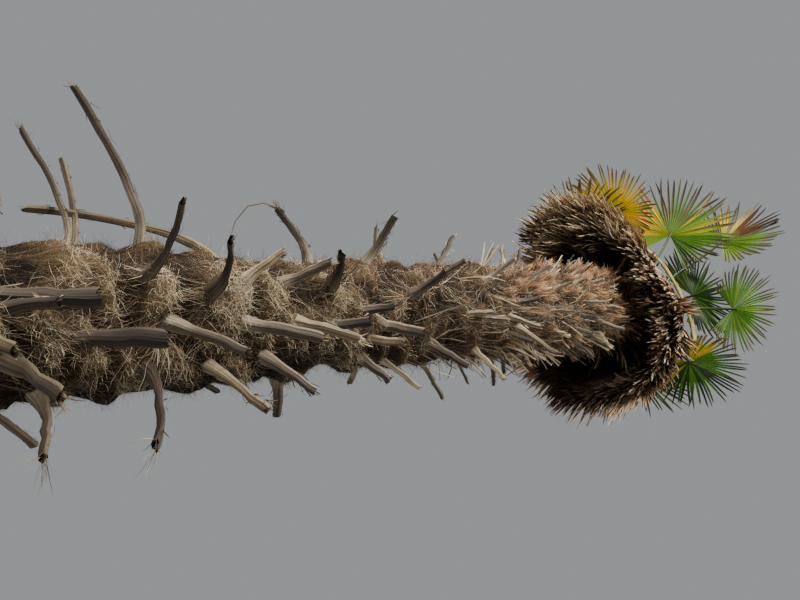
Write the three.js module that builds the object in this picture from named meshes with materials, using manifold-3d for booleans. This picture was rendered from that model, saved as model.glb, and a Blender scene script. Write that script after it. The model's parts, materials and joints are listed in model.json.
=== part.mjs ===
// A windmill palm about six metres tall: a shaggy trunk studded with the stubs of old leaf stalks,
// a hanging skirt of dead leaves round its top, and a crown of round fan leaves on long stalks.
// Millimetres, +Z up. The origin is the middle of the flat cut at ground level.
import * as THREE from "three";
import { mergeVertices } from "three/addons/utils/BufferGeometryUtils.js";
import Module from "manifold-3d";

const wasm = await Module();
wasm.setup();

// Trunk
const TRUNK_SIDES = 14;
// Height and radius of the trunk with its mat of fibre, from the root flare to the tip in the crown
const TRUNK_PROFILE = [
  [0, 205],
  [70, 192],
  [200, 168],
  [420, 152],
  [900, 142],
  [1500, 138],
  [1950, 140],
  [2100, 152],
  [2300, 145],
  [2550, 137],
  [2900, 148],
  [3300, 154],
  [3700, 163],
  [4100, 176],
  [4450, 174],
  [4600, 168],
  [4780, 140],
  [4950, 100],
  [5060, 66],
];
const CLEARANCE = 0.3;

// Stubs of the old leaf stalks, one after another up a golden-angle spiral. In the zone that is
// hindOnly the spiral keeps to the back, and the front has the stubs of the table below.
const GOLDEN_ANGLE = 137.508;
const STUB_ZONES = [
  { from: 260, to: 1850, pitch: 56, shortest: 60, longest: 150, leanest: 25, widest: 55 },
  { from: 1850, to: 2640, pitch: 29, shortest: 95, longest: 190, leanest: 20, widest: 78, hindOnly: true },
  { from: 2640, to: 3250, pitch: 29, shortest: 85, longest: 150, leanest: 24, widest: 74 },
  { from: 3250, to: 4140, pitch: 22, shortest: 70, longest: 125, leanest: 24, widest: 66 },
  { from: 4140, to: 4590, pitch: 26, shortest: 25, longest: 60, leanest: 12, widest: 40 },
];
const HIND_FROM = 0.25;
// The stubs that stand out at the front and the sides: azimuth, height, length, lean from upright
// and sway to the side
const FRONT_STUBS = [
  [170, 2160, 330, 100, -0.2],
  [150, 2040, 310, 90, -0.1],
  [140, 2040, 300, 75, 0],
  [140, 2430, 420, 160, 0],
  [240, 2080, 165, 95, -0.15],
  [280, 1910, 155, 40, -0.15],
  [240, 1770, 190, 25, 0.65],
  [260, 2080, 160, 60, 0.6],
  [265, 2220, 170, 50, 0.35],
  [265, 2370, 145, 55, 0.4],
  [300, 2180, 140, 65, 0.15],
  [295, 2300, 130, 60, 0.25],
  [310, 2600, 105, 55, 0.1],
  [295, 2080, 180, 110, 0.15],
  [285, 1850, 110, 70, 0.2],
  [240, 2250, 105, 60, -0.15],
  [250, 2210, 150, 110, -0.2],
  [170, 2610, 140, 110, -0.25],
  [245, 2530, 90, 110, -0.35],
  [235, 2360, 115, 45, 0],
  [265, 2580, 85, 45, -0.1],
  [285, 2480, 95, 50, -0.45],
  [300, 2570, 135, 35, -0.4],
  [5, 2470, 95, 75, 0.15],
  [320, 1930, 90, 100, 0],
  [270, 1820, 55, 65, 0.3],
  [275, 3110, 80, 45, 0],
  [265, 3260, 115, 55, 0.55],
  [280, 3340, 155, 65, 0.55],
  [0, 3420, 100, 75, 0],
  [315, 3430, 75, 70, 0.3],
  [185, 3500, 60, 85, -0.15],
  [0, 3510, 65, 75, 0.05],
  [295, 3570, 100, 40, 0],
  [265, 3970, 95, 40, 0.05],
  [290, 4020, 100, 65, 0.75],
];
// A stub's share of its lean and its width, from inside the trunk to its cut end
const STUB_COURSE = [
  { bend: 0.62, width: 46 },
  { bend: 0.62, width: 41 },
  { bend: 1, width: 28 },
  { bend: 1.12, width: 22 },
];
const STUB_FLATNESS = 0.52;
const STUB_SUNK = 45;
// How strongly the short stubs outnumber the long ones
const STUB_SHORTNESS = 1.6;
const STUB_TURN = 9;
const STUB_SWAY = 0.35;

// Green fan leaves at the front and the left, the lowest first. A stalk leaves the trunk at its foot
// with its azimuth and lift in degrees. The blade at its end rolls about its hub, and has a size as a
// share of the usual radius.
const FRONT_LEAVES = [
  { azimuth: 150, lift: 2, foot: 4810, stalk: 370, roll: 12, size: 0.85 },
  { azimuth: 169, lift: 10, foot: 4850, stalk: 410, roll: -14, size: 0.84 },
  { azimuth: 194, lift: 49, foot: 4890, stalk: 485, roll: 4, size: 1 },
  { azimuth: 219, lift: 58, foot: 4930, stalk: 770, roll: -30, size: 0.92 },
  { azimuth: 326, lift: 52, foot: 4900, stalk: 440, roll: 12, size: 0.84 },
  { azimuth: 272, lift: 66, foot: 4960, stalk: 700, roll: 4, size: 0.8 },
  { azimuth: 245, lift: 80, foot: 5020, stalk: 590, roll: 0, size: 0.92 },
];
// Leaves at the back and the right fill the rest of the circle, the ones to the right steeper.
const BACK_LEAVES = 11;
const BACK_FROM = 2;
const BACK_ARC = 130;
const BACK_LOWEST_FOOT = 4810;
const BACK_HIGHEST_FOOT = 5046;
const BACK_LOWEST_LIFT = 36;
const RIGHT_LOWEST_LIFT = 64;
const BACK_HIGHEST_LIFT = 76;
const BACK_SHORTEST_STALK = 525;
const BACK_LONGEST_STALK = 627;
const BACK_ROLL = 16;
const BACK_SMALLEST = 0.94;
const BACK_LARGEST = 1.04;
const GOLDEN_SHARE = 0.618;
// How a leaf lies when it grows level and when it grows upright: its blade tipped back and its
// stalk arched in degrees, and its blade's droop as a share of the radius
const LEVEL_LEAF = { recline: 18, arch: 17, droop: 0.2 };
const UPRIGHT_LEAF = { recline: 2, arch: 7, droop: 0.06 };
const STALK_WIDTH = 20;
const STALK_FOOT_WIDTH = 34;
const STALK_FLATNESS = 0.6;
const STALK_SUNK = 30;
const STALK_STEPS = 4;
const BLADE_RADIUS = 380;
const BLADE_SPREAD = 142;
const SEGMENTS = 18;
const SOUND_SHARE = 0.42;
const BLADE_THICKNESS = 4.2;
const TIP_THICKNESS = 2.4;
const PLEAT = 7;
const KNOB_WIDTH = 30;
const KNOB_DEPTH = 16;
// How much the segments beside the stalk fall short, and the shares that a hindered one is cut to
const SIDE_SHORTER = 0.32;
const CUT_SHARES = [1, 0.86, 0.72, 0.6];
const CUT_MARGIN = 2;

// Folded spear leaves in the heart of the crown
const SPEARS = [
  { azimuth: 150, lean: 5, length: 800 },
  { azimuth: 318, lean: 8, length: 640 },
];
const SPEAR_FOOT = 5030;
const SPEAR_OFFSET = 22;
const SPEAR_WIDTH = 26;
const SPEAR_FLATNESS = 0.8;
// Share of the way up and share of the full width
const SPEAR_SHAPE = [
  [0, 0.8],
  [0.35, 0.6],
  [0.6, 1],
  [0.85, 0.7],
  [1, 0.12],
];

// An old fruit stalk that arches over the near rim of the skirt, as points that it passes through
const FRUIT_STALK_LINE = [
  [45, -70, 4925],
  [125, -190, 5030],
  [182, -264, 5095],
  [126, -255, 5140],
  [46, -240, 5125],
  [-40, -220, 5080],
  [-157, -180, 5015],
  [-254, -130, 4945],
  [-334, -60, 4850],
];
const FRUIT_STALK_WIDTH = 26;
const FRUIT_STALK_END_WIDTH = 16;
const FRUIT_STALK_FLATNESS = 0.8;

// Skirt of dead leaves: sectors of a bell that hangs round the trunk and is open below, each with
// hanging strips. The rim is an uneven oval, and its wall is thickest on the left, towards -X.
const SKIRT_SECTORS = 16;
const SKIRT_GAP = 1.1;
const RIM_RADIUS = 485;
const RIM_OVAL = 40;
const RIM_SHIFT = 20;
const RIM_LEFT = 45;
const RIM_DENT = 150;
const RIM_DENT_AZIMUTH = 225;
const RIM_DENT_SHARPNESS = 4;
const RIM_WALL = 165;
const RIM_WALL_LEFT = 55;
const RIM_LEAST_INNER = 252;
const SKIRT_TOP = 4745;
const SKIRT_BOTTOM = 4165;
const SKIRT_BACK_RAISED = 110;
// Share of the way down, outer radius as a share of the rim's, and how far the wall is open inside
const SKIRT_LEVELS = [
  { down: 0, outer: 0.44, open: 0 },
  { down: 0.15, outer: 0.66, open: 0.3 },
  { down: 0.44, outer: 0.85, open: 0.85 },
  { down: 0.78, outer: 0.94, open: 1 },
];
const STRIPS_FROM = 0.66;
const SKIRT_STRIPS = 9;
const STRIP_WIDTH = 30;
const STRIP_THICKNESS = 8;
const STRIP_TIP_WIDTH = 7;
const STRIP_TIP_THICKNESS = 4;
const STRIP_FLARE_IN = -40;
const STRIP_FLARE_OUT = 62;
// Share of a sector's width that its strips stand in, in rows from the inner face to the outer one
const STRIP_SPAN = 0.8;
const STRIP_ROWS = 3;
const STRIP_INSET = 25;
const STRIP_LONGEST = -5;
const STRIP_SHORTEST = 45;

const radians = THREE.MathUtils.degToRad;

// The same number between 0 and 1 every time for one place in a row and one purpose.
function chance(index, purpose) {
  const wave = Math.sin(index * 12.9898 + purpose * 78.233) * 43758.5453;
  return wave - Math.floor(wave);
}

function between(low, high, share) {
  return low + (high - low) * share;
}

// A point at a radius, an azimuth in degrees and a height.
function polar(radius, azimuth, height) {
  const a = radians(azimuth);
  return new THREE.Vector3(radius * Math.cos(a), radius * Math.sin(a), height);
}

// The level direction that runs round the trunk at an azimuth.
function sideways(azimuth) {
  return polar(1, azimuth + 90, 0);
}

function trunkRadius(height) {
  for (let i = 1; i < TRUNK_PROFILE.length; i++) {
    const [low, lowRadius] = TRUNK_PROFILE[i - 1];
    const [high, highRadius] = TRUNK_PROFILE[i];
    if (height <= high) return between(lowRadius, highRadius, (height - low) / (high - low));
  }
  return TRUNK_PROFILE.at(-1)[1];
}

// A closed solid from its corners and its triangles, turned to face outwards.
function solidFrom(corners, triangles) {
  const made = new wasm.Manifold(
    new wasm.Mesh({
      numProp: 3,
      vertProperties: new Float32Array(corners.flatMap((c) => [c.x, c.y, c.z])),
      triVerts: new Uint32Array(triangles.flat()),
    }),
  );
  if (made.volume() > 0) return made;
  return solidFrom(
    corners,
    triangles.map(([a, b, c]) => [a, c, b]),
  );
}

// A closed solid through rings of corners that all have the same count, in order along it.
function skinned(rings) {
  const count = rings[0].length;
  const corners = rings.flat();
  const triangles = [];
  for (let r = 0; r + 1 < rings.length; r++) {
    for (let k = 0; k < count; k++) {
      const a = r * count + k;
      const b = r * count + ((k + 1) % count);
      triangles.push([a, b, b + count], [a, b + count, a + count]);
    }
  }
  const last = (rings.length - 1) * count;
  for (let k = 1; k + 1 < count; k++) {
    triangles.push([0, k + 1, k], [last, last + k, last + k + 1]);
  }
  return solidFrom(corners, triangles);
}

// A bar with a three-cornered section, flat on top and keeled below, as a palm's leaf stalk has.
// Each station holds the place, the way to the side, the way up, and the section's width and depth.
function keeledBar(stations) {
  return skinned(
    stations.map(({ at, side, up, width, depth }) => [
      at.clone().addScaledVector(side, width / 2).addScaledVector(up, depth / 2),
      at.clone().addScaledVector(side, -width / 2).addScaledVector(up, depth / 2),
      at.clone().addScaledVector(up, -depth / 2),
    ]),
  );
}

function meshOf(name, solid, colour, roughness) {
  const made = solid.getMesh();
  const step = made.numProp;
  const places = new Float32Array(made.numVert * 3);
  for (let i = 0; i < made.numVert; i++) {
    places.set(made.vertProperties.subarray(i * step, i * step + 3), i * 3);
  }
  const geometry = new THREE.BufferGeometry()
    .setAttribute("position", new THREE.BufferAttribute(places, 3))
    .setIndex(new THREE.BufferAttribute(made.triVerts, 1));
  const mesh = new THREE.Mesh(
    mergeVertices(geometry, 1e-3),
    new THREE.MeshStandardMaterial({ color: colour, roughness, metalness: 0 }),
  );
  mesh.name = name;
  return mesh;
}

// The bare shaft of the trunk, grown by a margin where other pieces are cut clear of it.
function shaft(margin) {
  return skinned(
    TRUNK_PROFILE.map(([height, radius], level) =>
      Array.from({ length: TRUNK_SIDES }, (_, k) => {
        const azimuth = (360 / TRUNK_SIDES) * (k + (level % 2) / 2);
        const reach = (radius + margin) / Math.cos(Math.PI / TRUNK_SIDES / 2);
        const top = level === TRUNK_PROFILE.length - 1 ? margin : 0;
        return polar(reach, azimuth, height + top);
      }),
    ),
  );
}

// Every stub with its place and its bend, the ones of the spiral first.
function stubRules() {
  const rules = [];
  let index = 0;
  for (const zone of STUB_ZONES) {
    for (let height = zone.from; height < zone.to; height += zone.pitch, index++) {
      const azimuth = index * GOLDEN_ANGLE + between(-STUB_TURN, STUB_TURN, chance(index, 1));
      if (zone.hindOnly && Math.sin(radians(azimuth)) < HIND_FROM) continue;
      rules.push({
        azimuth,
        height,
        long: between(zone.shortest, zone.longest, chance(index, 2) ** STUB_SHORTNESS),
        lean: between(zone.leanest, zone.widest, chance(index, 3)),
        sway: between(-STUB_SWAY, STUB_SWAY, chance(index, 4)),
      });
    }
  }
  for (const [azimuth, height, long, lean, sway] of FRONT_STUBS) {
    rules.push({ azimuth, height, long, lean, sway });
  }
  return rules;
}

// A stub leaves the trunk steeply and bends outwards to its cut end.
function stub({ azimuth, height, long, lean: degrees, sway }) {
  const out = polar(1, azimuth, 0);
  const side = sideways(azimuth);
  const lean = radians(degrees);
  const legs = [0, STUB_SUNK * 1.5, long / 2, long / 2];
  let at = polar(trunkRadius(height) - STUB_SUNK, azimuth, height - STUB_SUNK);
  const stations = STUB_COURSE.map(({ bend, width }, i) => {
    const angle = lean * bend;
    const along = out
      .clone()
      .addScaledVector(side, sway)
      .multiplyScalar(Math.sin(angle))
      .setZ(Math.cos(angle))
      .normalize();
    const across = side.clone().addScaledVector(along, -side.dot(along)).normalize();
    at = at.clone().addScaledVector(along, legs[i]);
    return {
      at,
      side: across,
      up: new THREE.Vector3().crossVectors(along, across),
      width,
      depth: width * STUB_FLATNESS,
    };
  });
  return keeledBar(stations);
}

function trunk() {
  return wasm.Manifold.union([shaft(0), ...stubRules().map(stub)]);
}

// Every leaf with its full set of sizes, the front ones first and each group from the lowest up.
function leafRules() {
  const back = Array.from({ length: BACK_LEAVES }, (_, i) => {
    const age = i / (BACK_LEAVES - 1);
    const round = (0.5 + GOLDEN_SHARE * i) % 1;
    const lowest = between(RIGHT_LOWEST_LIFT, BACK_LOWEST_LIFT, Math.min(1, 2 * round));
    return {
      azimuth: BACK_FROM + BACK_ARC * round,
      lift: between(lowest, BACK_HIGHEST_LIFT, age),
      foot: between(BACK_LOWEST_FOOT, BACK_HIGHEST_FOOT, age),
      stalk: between(BACK_SHORTEST_STALK, BACK_LONGEST_STALK, chance(i, 13)),
      roll: between(-BACK_ROLL, BACK_ROLL, chance(i, 15)),
      size: between(BACK_SMALLEST, BACK_LARGEST, chance(i, 14)),
    };
  });
  return [...FRONT_LEAVES, ...back].map((leaf) => {
    const upright = Math.max(0, leaf.lift) / 90;
    return {
      ...leaf,
      radius: BLADE_RADIUS * leaf.size,
      recline: between(LEVEL_LEAF.recline, UPRIGHT_LEAF.recline, upright),
      arch: between(LEVEL_LEAF.arch, UPRIGHT_LEAF.arch, upright),
      droop: between(LEVEL_LEAF.droop, UPRIGHT_LEAF.droop, upright),
    };
  });
}

// The level direction out tipped up by an angle in degrees.
function towards(out, lift) {
  const pitch = radians(lift);
  return out.clone().multiplyScalar(Math.cos(pitch)).setZ(Math.sin(pitch));
}

// The stalk's line: steeper at its foot, arching over to the hub of the blade.
function stalkStations(leaf) {
  const out = polar(1, leaf.azimuth, 0);
  const side = sideways(leaf.azimuth);
  let at = polar(trunkRadius(leaf.foot) - STALK_SUNK, leaf.azimuth, leaf.foot);
  const stations = [];
  for (let i = 0; i <= STALK_STEPS; i++) {
    const share = i / STALK_STEPS;
    const along = towards(out, leaf.lift + leaf.arch * (1 - 2 * share));
    const up = new THREE.Vector3().crossVectors(along, side);
    const width = between(STALK_FOOT_WIDTH, STALK_WIDTH, Math.min(1, share * 2));
    stations.push({ at: at.clone(), side, up, width, depth: width * STALK_FLATNESS, along });
    const next = towards(out, leaf.lift + leaf.arch * (1 - 2 * (share + 0.5 / STALK_STEPS)));
    at = at.clone().addScaledVector(next, (leaf.stalk + STALK_SUNK) / STALK_STEPS);
  }
  return stations;
}

// The blade's own axes at its hub: forwards, to the side and up, reclined and rolled.
function bladeAxes(leaf, hub) {
  const pitch = radians(-leaf.recline);
  const forward = hub.along
    .clone()
    .multiplyScalar(Math.cos(pitch))
    .addScaledVector(hub.up, Math.sin(pitch))
    .normalize();
  const up = new THREE.Vector3().crossVectors(forward, hub.side).normalize();
  const roll = radians(leaf.roll);
  const side = hub.side.clone().multiplyScalar(Math.cos(roll)).addScaledVector(up, Math.sin(roll));
  return { at: hub.at, forward, side, up: new THREE.Vector3().crossVectors(forward, side) };
}

// A place on the blade by its angle from the middle segment and its distance from the hub.
function onBlade(leaf, axes, angle, distance, rise) {
  const a = radians(angle);
  const share = distance / leaf.radius;
  const fall = leaf.droop * share * share * leaf.radius;
  return axes.at
    .clone()
    .addScaledVector(axes.forward, Math.cos(a) * distance)
    .addScaledVector(axes.side, Math.sin(a) * distance)
    .addScaledVector(axes.up, rise - fall);
}

// A run of neighbouring segments as one thin solid. Each segment is a pleat up to where the
// blade splits, and then a tapering point of its own length.
function bladeRun(leaf, axes, lengths, first, last, thicker) {
  const step = (2 * BLADE_SPREAD) / SEGMENTS;
  const top = [];
  const faces = [];
  const outline = [];
  const half = (BLADE_THICKNESS + thicker) / 2;
  const tipHalf = (TIP_THICKNESS + thicker) / 2;
  const add = (angle, distance, rise, thick) => {
    top.push([
      onBlade(leaf, axes, angle, distance, rise + thick),
      onBlade(leaf, axes, angle, distance, rise - thick),
    ]);
    return top.length - 1;
  };
  const hub = add(0, 0, 0, half);
  let notch = add(-BLADE_SPREAD + step * first, leaf.radius * SOUND_SHARE, -PLEAT / 2, half);
  outline.push(hub, notch);
  for (let j = first; j <= last; j++) {
    const middle = -BLADE_SPREAD + step * (j + 0.5);
    const ridge = add(middle, leaf.radius * SOUND_SHARE, PLEAT / 2, half);
    const tip = add(middle, leaf.radius * lengths[j], 0, tipHalf);
    const next = add(-BLADE_SPREAD + step * (j + 1), leaf.radius * SOUND_SHARE, -PLEAT / 2, half);
    faces.push([hub, notch, ridge], [hub, ridge, next], [notch, tip, ridge], [ridge, tip, next]);
    outline.push(tip, next);
    notch = next;
  }
  const corners = top.flat();
  const triangles = [];
  for (const [a, b, c] of faces) {
    triangles.push([2 * a, 2 * b, 2 * c], [2 * a + 1, 2 * c + 1, 2 * b + 1]);
  }
  outline.forEach((a, i) => {
    const b = outline[(i + 1) % outline.length];
    triangles.push([2 * a, 2 * a + 1, 2 * b + 1], [2 * a, 2 * b + 1, 2 * b]);
  });
  return solidFrom(corners, triangles);
}

function touches(solid, others) {
  return others.some((other) => solid.intersect(other).volume() > 0);
}

function boxesMeet(a, b) {
  return [0, 1, 2].every((k) => a.min[k] <= b.max[k] && b.min[k] <= a.max[k]);
}

// How far each segment reaches, as a share of the blade's radius: the ones beside the stalk are
// shorter, and one that would touch a leaf placed before is cut back, or left out as 0.
function segmentLengths(leaf, axes, obstacles) {
  return Array.from({ length: SEGMENTS }, (_, j) => {
    const offset = Math.abs((j + 0.5) / SEGMENTS - 0.5) * 2;
    const full = 1 - SIDE_SHORTER * offset ** 3;
    for (const share of CUT_SHARES) {
      const lengths = new Array(SEGMENTS).fill(full * share);
      const wedge = bladeRun(leaf, axes, lengths, j, j, CUT_MARGIN);
      const box = wedge.boundingBox();
      const near = obstacles.filter((p) => boxesMeet(box, p.boundingBox()));
      if (!touches(wedge, near)) return full * share;
    }
    return 0;
  });
}

// The leaf's stalk with the knob that holds its blade, and the frame the blade is laid out in.
function leafStalk(leaf, clearOf) {
  const stations = stalkStations(leaf);
  const hub = stations.at(-1);
  const axes = bladeAxes(leaf, hub);
  const knob = [-1, 0, 1].map((end) => ({
    at: hub.at.clone().addScaledVector(axes.forward, (end * KNOB_WIDTH) / 2),
    side: axes.side,
    up: axes.up,
    width: end === 0 ? KNOB_WIDTH : KNOB_WIDTH / 2,
    depth: end === 0 ? KNOB_DEPTH : KNOB_DEPTH / 2,
  }));
  const solid = wasm.Manifold.union([keeledBar(stations), keeledBar(knob)]).subtract(clearOf);
  return { leaf, axes, solid };
}

function fanLeaf({ leaf, axes, solid }, obstacles) {
  const lengths = segmentLengths(leaf, axes, obstacles);
  const pieces = [solid];
  let first = null;
  for (let j = 0; j <= SEGMENTS; j++) {
    const here = j < SEGMENTS && lengths[j] > 0;
    if (here && first === null) first = j;
    if (!here && first !== null) {
      pieces.push(bladeRun(leaf, axes, lengths, first, j - 1, 0));
      first = null;
    }
  }
  return wasm.Manifold.union(pieces);
}

// A young leaf still folded into a slender spear.
function spear({ azimuth, lean, length }, clearOf) {
  const out = polar(Math.sin(radians(lean)), azimuth, Math.cos(radians(lean)));
  const side = sideways(azimuth);
  const up = new THREE.Vector3().crossVectors(side, out);
  const base = polar(SPEAR_OFFSET, azimuth, SPEAR_FOOT);
  return keeledBar(
    SPEAR_SHAPE.map(([share, width]) => ({
      at: base.clone().addScaledVector(out, length * share),
      side,
      up,
      width: SPEAR_WIDTH * width,
      depth: SPEAR_WIDTH * width * SPEAR_FLATNESS,
    })),
  ).subtract(clearOf);
}

// The old fruit stalk: a bar along its line, thinner towards its free end.
function fruitStalk(clearOf) {
  const line = FRUIT_STALK_LINE.map(([x, y, z]) => new THREE.Vector3(x, y, z));
  const stations = line.map((at, i) => {
    const along = line[Math.min(i + 1, line.length - 1)]
      .clone()
      .sub(line[Math.max(i - 1, 0)])
      .normalize();
    const side = new THREE.Vector3(0, 0, 1).cross(along).normalize();
    const width = between(FRUIT_STALK_WIDTH, FRUIT_STALK_END_WIDTH, i / (line.length - 1));
    const up = new THREE.Vector3().crossVectors(along, side);
    return { at, side, up, width, depth: width * FRUIT_STALK_FLATNESS };
  });
  return keeledBar(stations).subtract(clearOf);
}

// The skirt's rim at an azimuth: the height of its lower edge and its outer and inner radius.
function skirtRim(azimuth) {
  const a = radians(azimuth);
  const dent = Math.max(0, Math.cos(a - radians(RIM_DENT_AZIMUTH))) ** RIM_DENT_SHARPNESS;
  const outer =
    RIM_RADIUS +
    RIM_OVAL * Math.cos(2 * a) -
    RIM_SHIFT * Math.sin(a) -
    RIM_LEFT * Math.cos(a) -
    RIM_DENT * dent;
  return {
    bottom: SKIRT_BOTTOM + SKIRT_BACK_RAISED * Math.max(0, Math.sin(a)),
    outer,
    inner: Math.max(RIM_LEAST_INNER, outer - RIM_WALL + RIM_WALL_LEFT * Math.cos(a)),
  };
}

// One sector of the skirt: a thick curved core that closes against the trunk above, and rows of
// ragged strips that hang out of its lower edge.
function skirtSector(index, clearOf) {
  const middle = ((index + 0.5) * 360) / SKIRT_SECTORS;
  const half = 180 / SKIRT_SECTORS - SKIRT_GAP / 2;
  const rim = skirtRim(middle);
  const core = skinned(
    SKIRT_LEVELS.map(({ down, outer, open }) => {
      const height = between(SKIRT_TOP, rim.bottom, down);
      const inner = between(trunkRadius(height) - 10, rim.inner, open);
      return [
        polar(inner, middle - half, height),
        polar(rim.outer * outer, middle - half, height),
        polar(rim.outer * outer, middle + half, height),
        polar(inner, middle + half, height),
      ];
    }),
  );
  const pieces = [core];
  const lip = SKIRT_LEVELS.at(-1);
  const start = between(SKIRT_TOP, rim.bottom, STRIPS_FROM);
  for (let k = 0; k < SKIRT_STRIPS; k++) {
    const seed = index * 31 + k;
    const azimuth = middle + between(-half, half, (k + 0.5) / SKIRT_STRIPS) * STRIP_SPAN;
    const row = (k % STRIP_ROWS) / (STRIP_ROWS - 1);
    const end = rim.bottom + between(STRIP_LONGEST, STRIP_SHORTEST, chance(seed, 21));
    const from = between(rim.inner + STRIP_INSET, rim.outer * lip.outer - STRIP_INSET, row);
    const flare = between(STRIP_FLARE_IN, STRIP_FLARE_OUT, row) * between(0.7, 1.1, chance(seed, 22));
    const side = sideways(azimuth);
    const foot = polar(from, azimuth, start);
    const tip = polar(from + flare, azimuth, end);
    const up = new THREE.Vector3().crossVectors(side, tip.clone().sub(foot).normalize());
    pieces.push(
      keeledBar([
        { at: foot, side, up, width: STRIP_WIDTH, depth: STRIP_THICKNESS },
        { at: tip, side, up, width: STRIP_TIP_WIDTH, depth: STRIP_TIP_THICKNESS },
      ]),
    );
  }
  return wasm.Manifold.union(pieces).subtract(clearOf);
}

const BARK = 0x6b5745;
const GREEN = 0x56702f;
const YOUNG_GREEN = 0x84a24a;
const PALE_GREEN = 0x9a9a5a;
const STRAW = 0x7d6550;

const palm = new THREE.Group();
const clearOf = shaft(CLEARANCE);
palm.add(meshOf("trunk", trunk(), BARK, 0.95));

const obstacles = [];
for (let index = 0; index < SKIRT_SECTORS; index++) {
  const sector = skirtSector(index, clearOf);
  obstacles.push(sector);
  palm.add(meshOf(`dead_leaves_${String(index + 1).padStart(2, "0")}`, sector, STRAW, 0.9));
}
SPEARS.forEach((shape, index) => {
  const made = spear(shape, clearOf);
  obstacles.push(made);
  palm.add(meshOf(`spear_leaf_${index + 1}`, made, YOUNG_GREEN, 0.55));
});
const arch = fruitStalk(clearOf);
obstacles.push(arch);
palm.add(meshOf("fruit_stalk", arch, PALE_GREEN, 0.7));

const stalks = leafRules().map((leaf) => leafStalk(leaf, clearOf));
stalks.forEach((stalk, rank) => {
  const others = stalks.filter((other) => other !== stalk).map((other) => other.solid);
  const made = fanLeaf(stalk, [...obstacles, ...others]);
  obstacles.push(made);
  palm.add(meshOf(`fan_leaf_${String(rank + 1).padStart(2, "0")}`, made, GREEN, 0.5));
});

export default palm;
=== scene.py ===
"""A windmill palm about six metres tall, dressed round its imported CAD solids.

The trunk wears a mat of fibre and the stubs of its old leaf stalks, a skirt of dead leaves hangs
under the crown, and round fan leaves stand on long stalks. The tables are in millimetres and
degrees, with the same rules as the part's own source. Meshes are in metres, +Z up.
"""

import json
import logging
import math
from collections.abc import Callable, Sequence
from dataclasses import dataclass, field
from enum import Enum
from functools import partial

import bmesh
import bpy
import numpy as np
from mathutils import Matrix, Vector

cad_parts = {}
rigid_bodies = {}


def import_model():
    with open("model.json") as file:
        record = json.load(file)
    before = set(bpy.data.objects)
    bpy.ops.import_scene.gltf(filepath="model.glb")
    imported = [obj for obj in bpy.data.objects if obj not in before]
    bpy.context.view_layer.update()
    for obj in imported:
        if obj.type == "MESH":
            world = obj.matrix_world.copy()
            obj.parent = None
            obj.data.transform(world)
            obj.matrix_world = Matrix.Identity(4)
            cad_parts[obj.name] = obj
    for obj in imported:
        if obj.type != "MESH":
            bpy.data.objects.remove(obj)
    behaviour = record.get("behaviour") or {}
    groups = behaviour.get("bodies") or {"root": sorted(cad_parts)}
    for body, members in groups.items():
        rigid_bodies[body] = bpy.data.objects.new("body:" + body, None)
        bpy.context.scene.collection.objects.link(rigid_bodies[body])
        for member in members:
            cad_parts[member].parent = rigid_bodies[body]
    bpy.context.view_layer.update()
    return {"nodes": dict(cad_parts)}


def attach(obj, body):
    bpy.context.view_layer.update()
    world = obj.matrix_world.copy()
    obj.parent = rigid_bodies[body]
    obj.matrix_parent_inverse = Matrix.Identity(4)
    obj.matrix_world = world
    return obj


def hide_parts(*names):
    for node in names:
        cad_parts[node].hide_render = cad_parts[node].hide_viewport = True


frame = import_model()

Array = np.ndarray
Numbers = np.ndarray | float
Hex = int
Put = Callable[..., bpy.types.Node]
Look = dict[str, bpy.types.Node | bpy.types.NodeSocket]

log = logging.getLogger("windmill_palm")

MM = 0.001
BODY = "root"
UP = np.array([0.0, 0.0, 1.0])
GOLDEN_ANGLE = 137.508
GOLDEN_SHARE = 0.618
SEED = 1836

# Small sums that the source uses too


def chance(index: Numbers, purpose: float) -> Array:
    """The same number between 0 and 1 every time for one place in a row and one purpose."""
    wave = np.sin(np.asarray(index, float) * 12.9898 + purpose * 78.233) * 43758.5453
    return wave - np.floor(wave)


def between(low: Numbers, high: Numbers, share: Numbers) -> Numbers:
    """The value that lies at a share of the way from low to high."""
    return low + (high - low) * share


def polar(radius: Numbers, azimuth: Numbers, height: Numbers) -> Array:
    """Points by radius, azimuth in degrees from +X and height, with x, y and z on the last axis."""
    a = np.radians(azimuth)
    return np.stack(np.broadcast_arrays(radius * np.cos(a), radius * np.sin(a), height), -1)


def outwards(azimuth: Numbers) -> Array:
    """The level direction away from the trunk's axis at an azimuth."""
    return polar(1.0, azimuth, 0.0)


def sideways(azimuth: Numbers) -> Array:
    """The level direction that runs round the trunk at an azimuth."""
    return outwards(np.asarray(azimuth, float) + 90)


def facing(azimuth: Numbers, towards: float, sharpness: float = 1) -> Numbers:
    """How squarely azimuths face another one: 1 there, and 0 from a quarter turn away on."""
    return np.maximum(0, np.cos(np.radians(azimuth - towards))) ** sharpness


def unit(vectors: Array) -> Array:
    """Vectors scaled to length 1 along the last axis."""
    return vectors / np.maximum(np.linalg.norm(vectors, axis=-1, keepdims=True), 1e-9)


def smooth_step(low: float, high: float, value: Array) -> Array:
    """A ramp from 0 at low to 1 at high with soft ends."""
    t = np.clip((value - low) / (high - low), 0, 1)
    return t * t * (3 - 2 * t)


def bell(middle: float, half_width: float, value: Array) -> Array:
    """A soft bump that is 1 at its middle."""
    return np.exp(-(((value - middle) / half_width) ** 2))


def by_table(table: Sequence[tuple[float, float]], value: Numbers) -> Numbers:
    """The values of a table of places and values at any places, straight between its rows."""
    return np.interp(value, *zip(*table))


def walked(start: Array, moves: Array) -> Array:
    """Lines that run on from their starts by one move after another."""
    return np.concatenate([start, start + np.cumsum(moves, 1)], 1)


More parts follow.
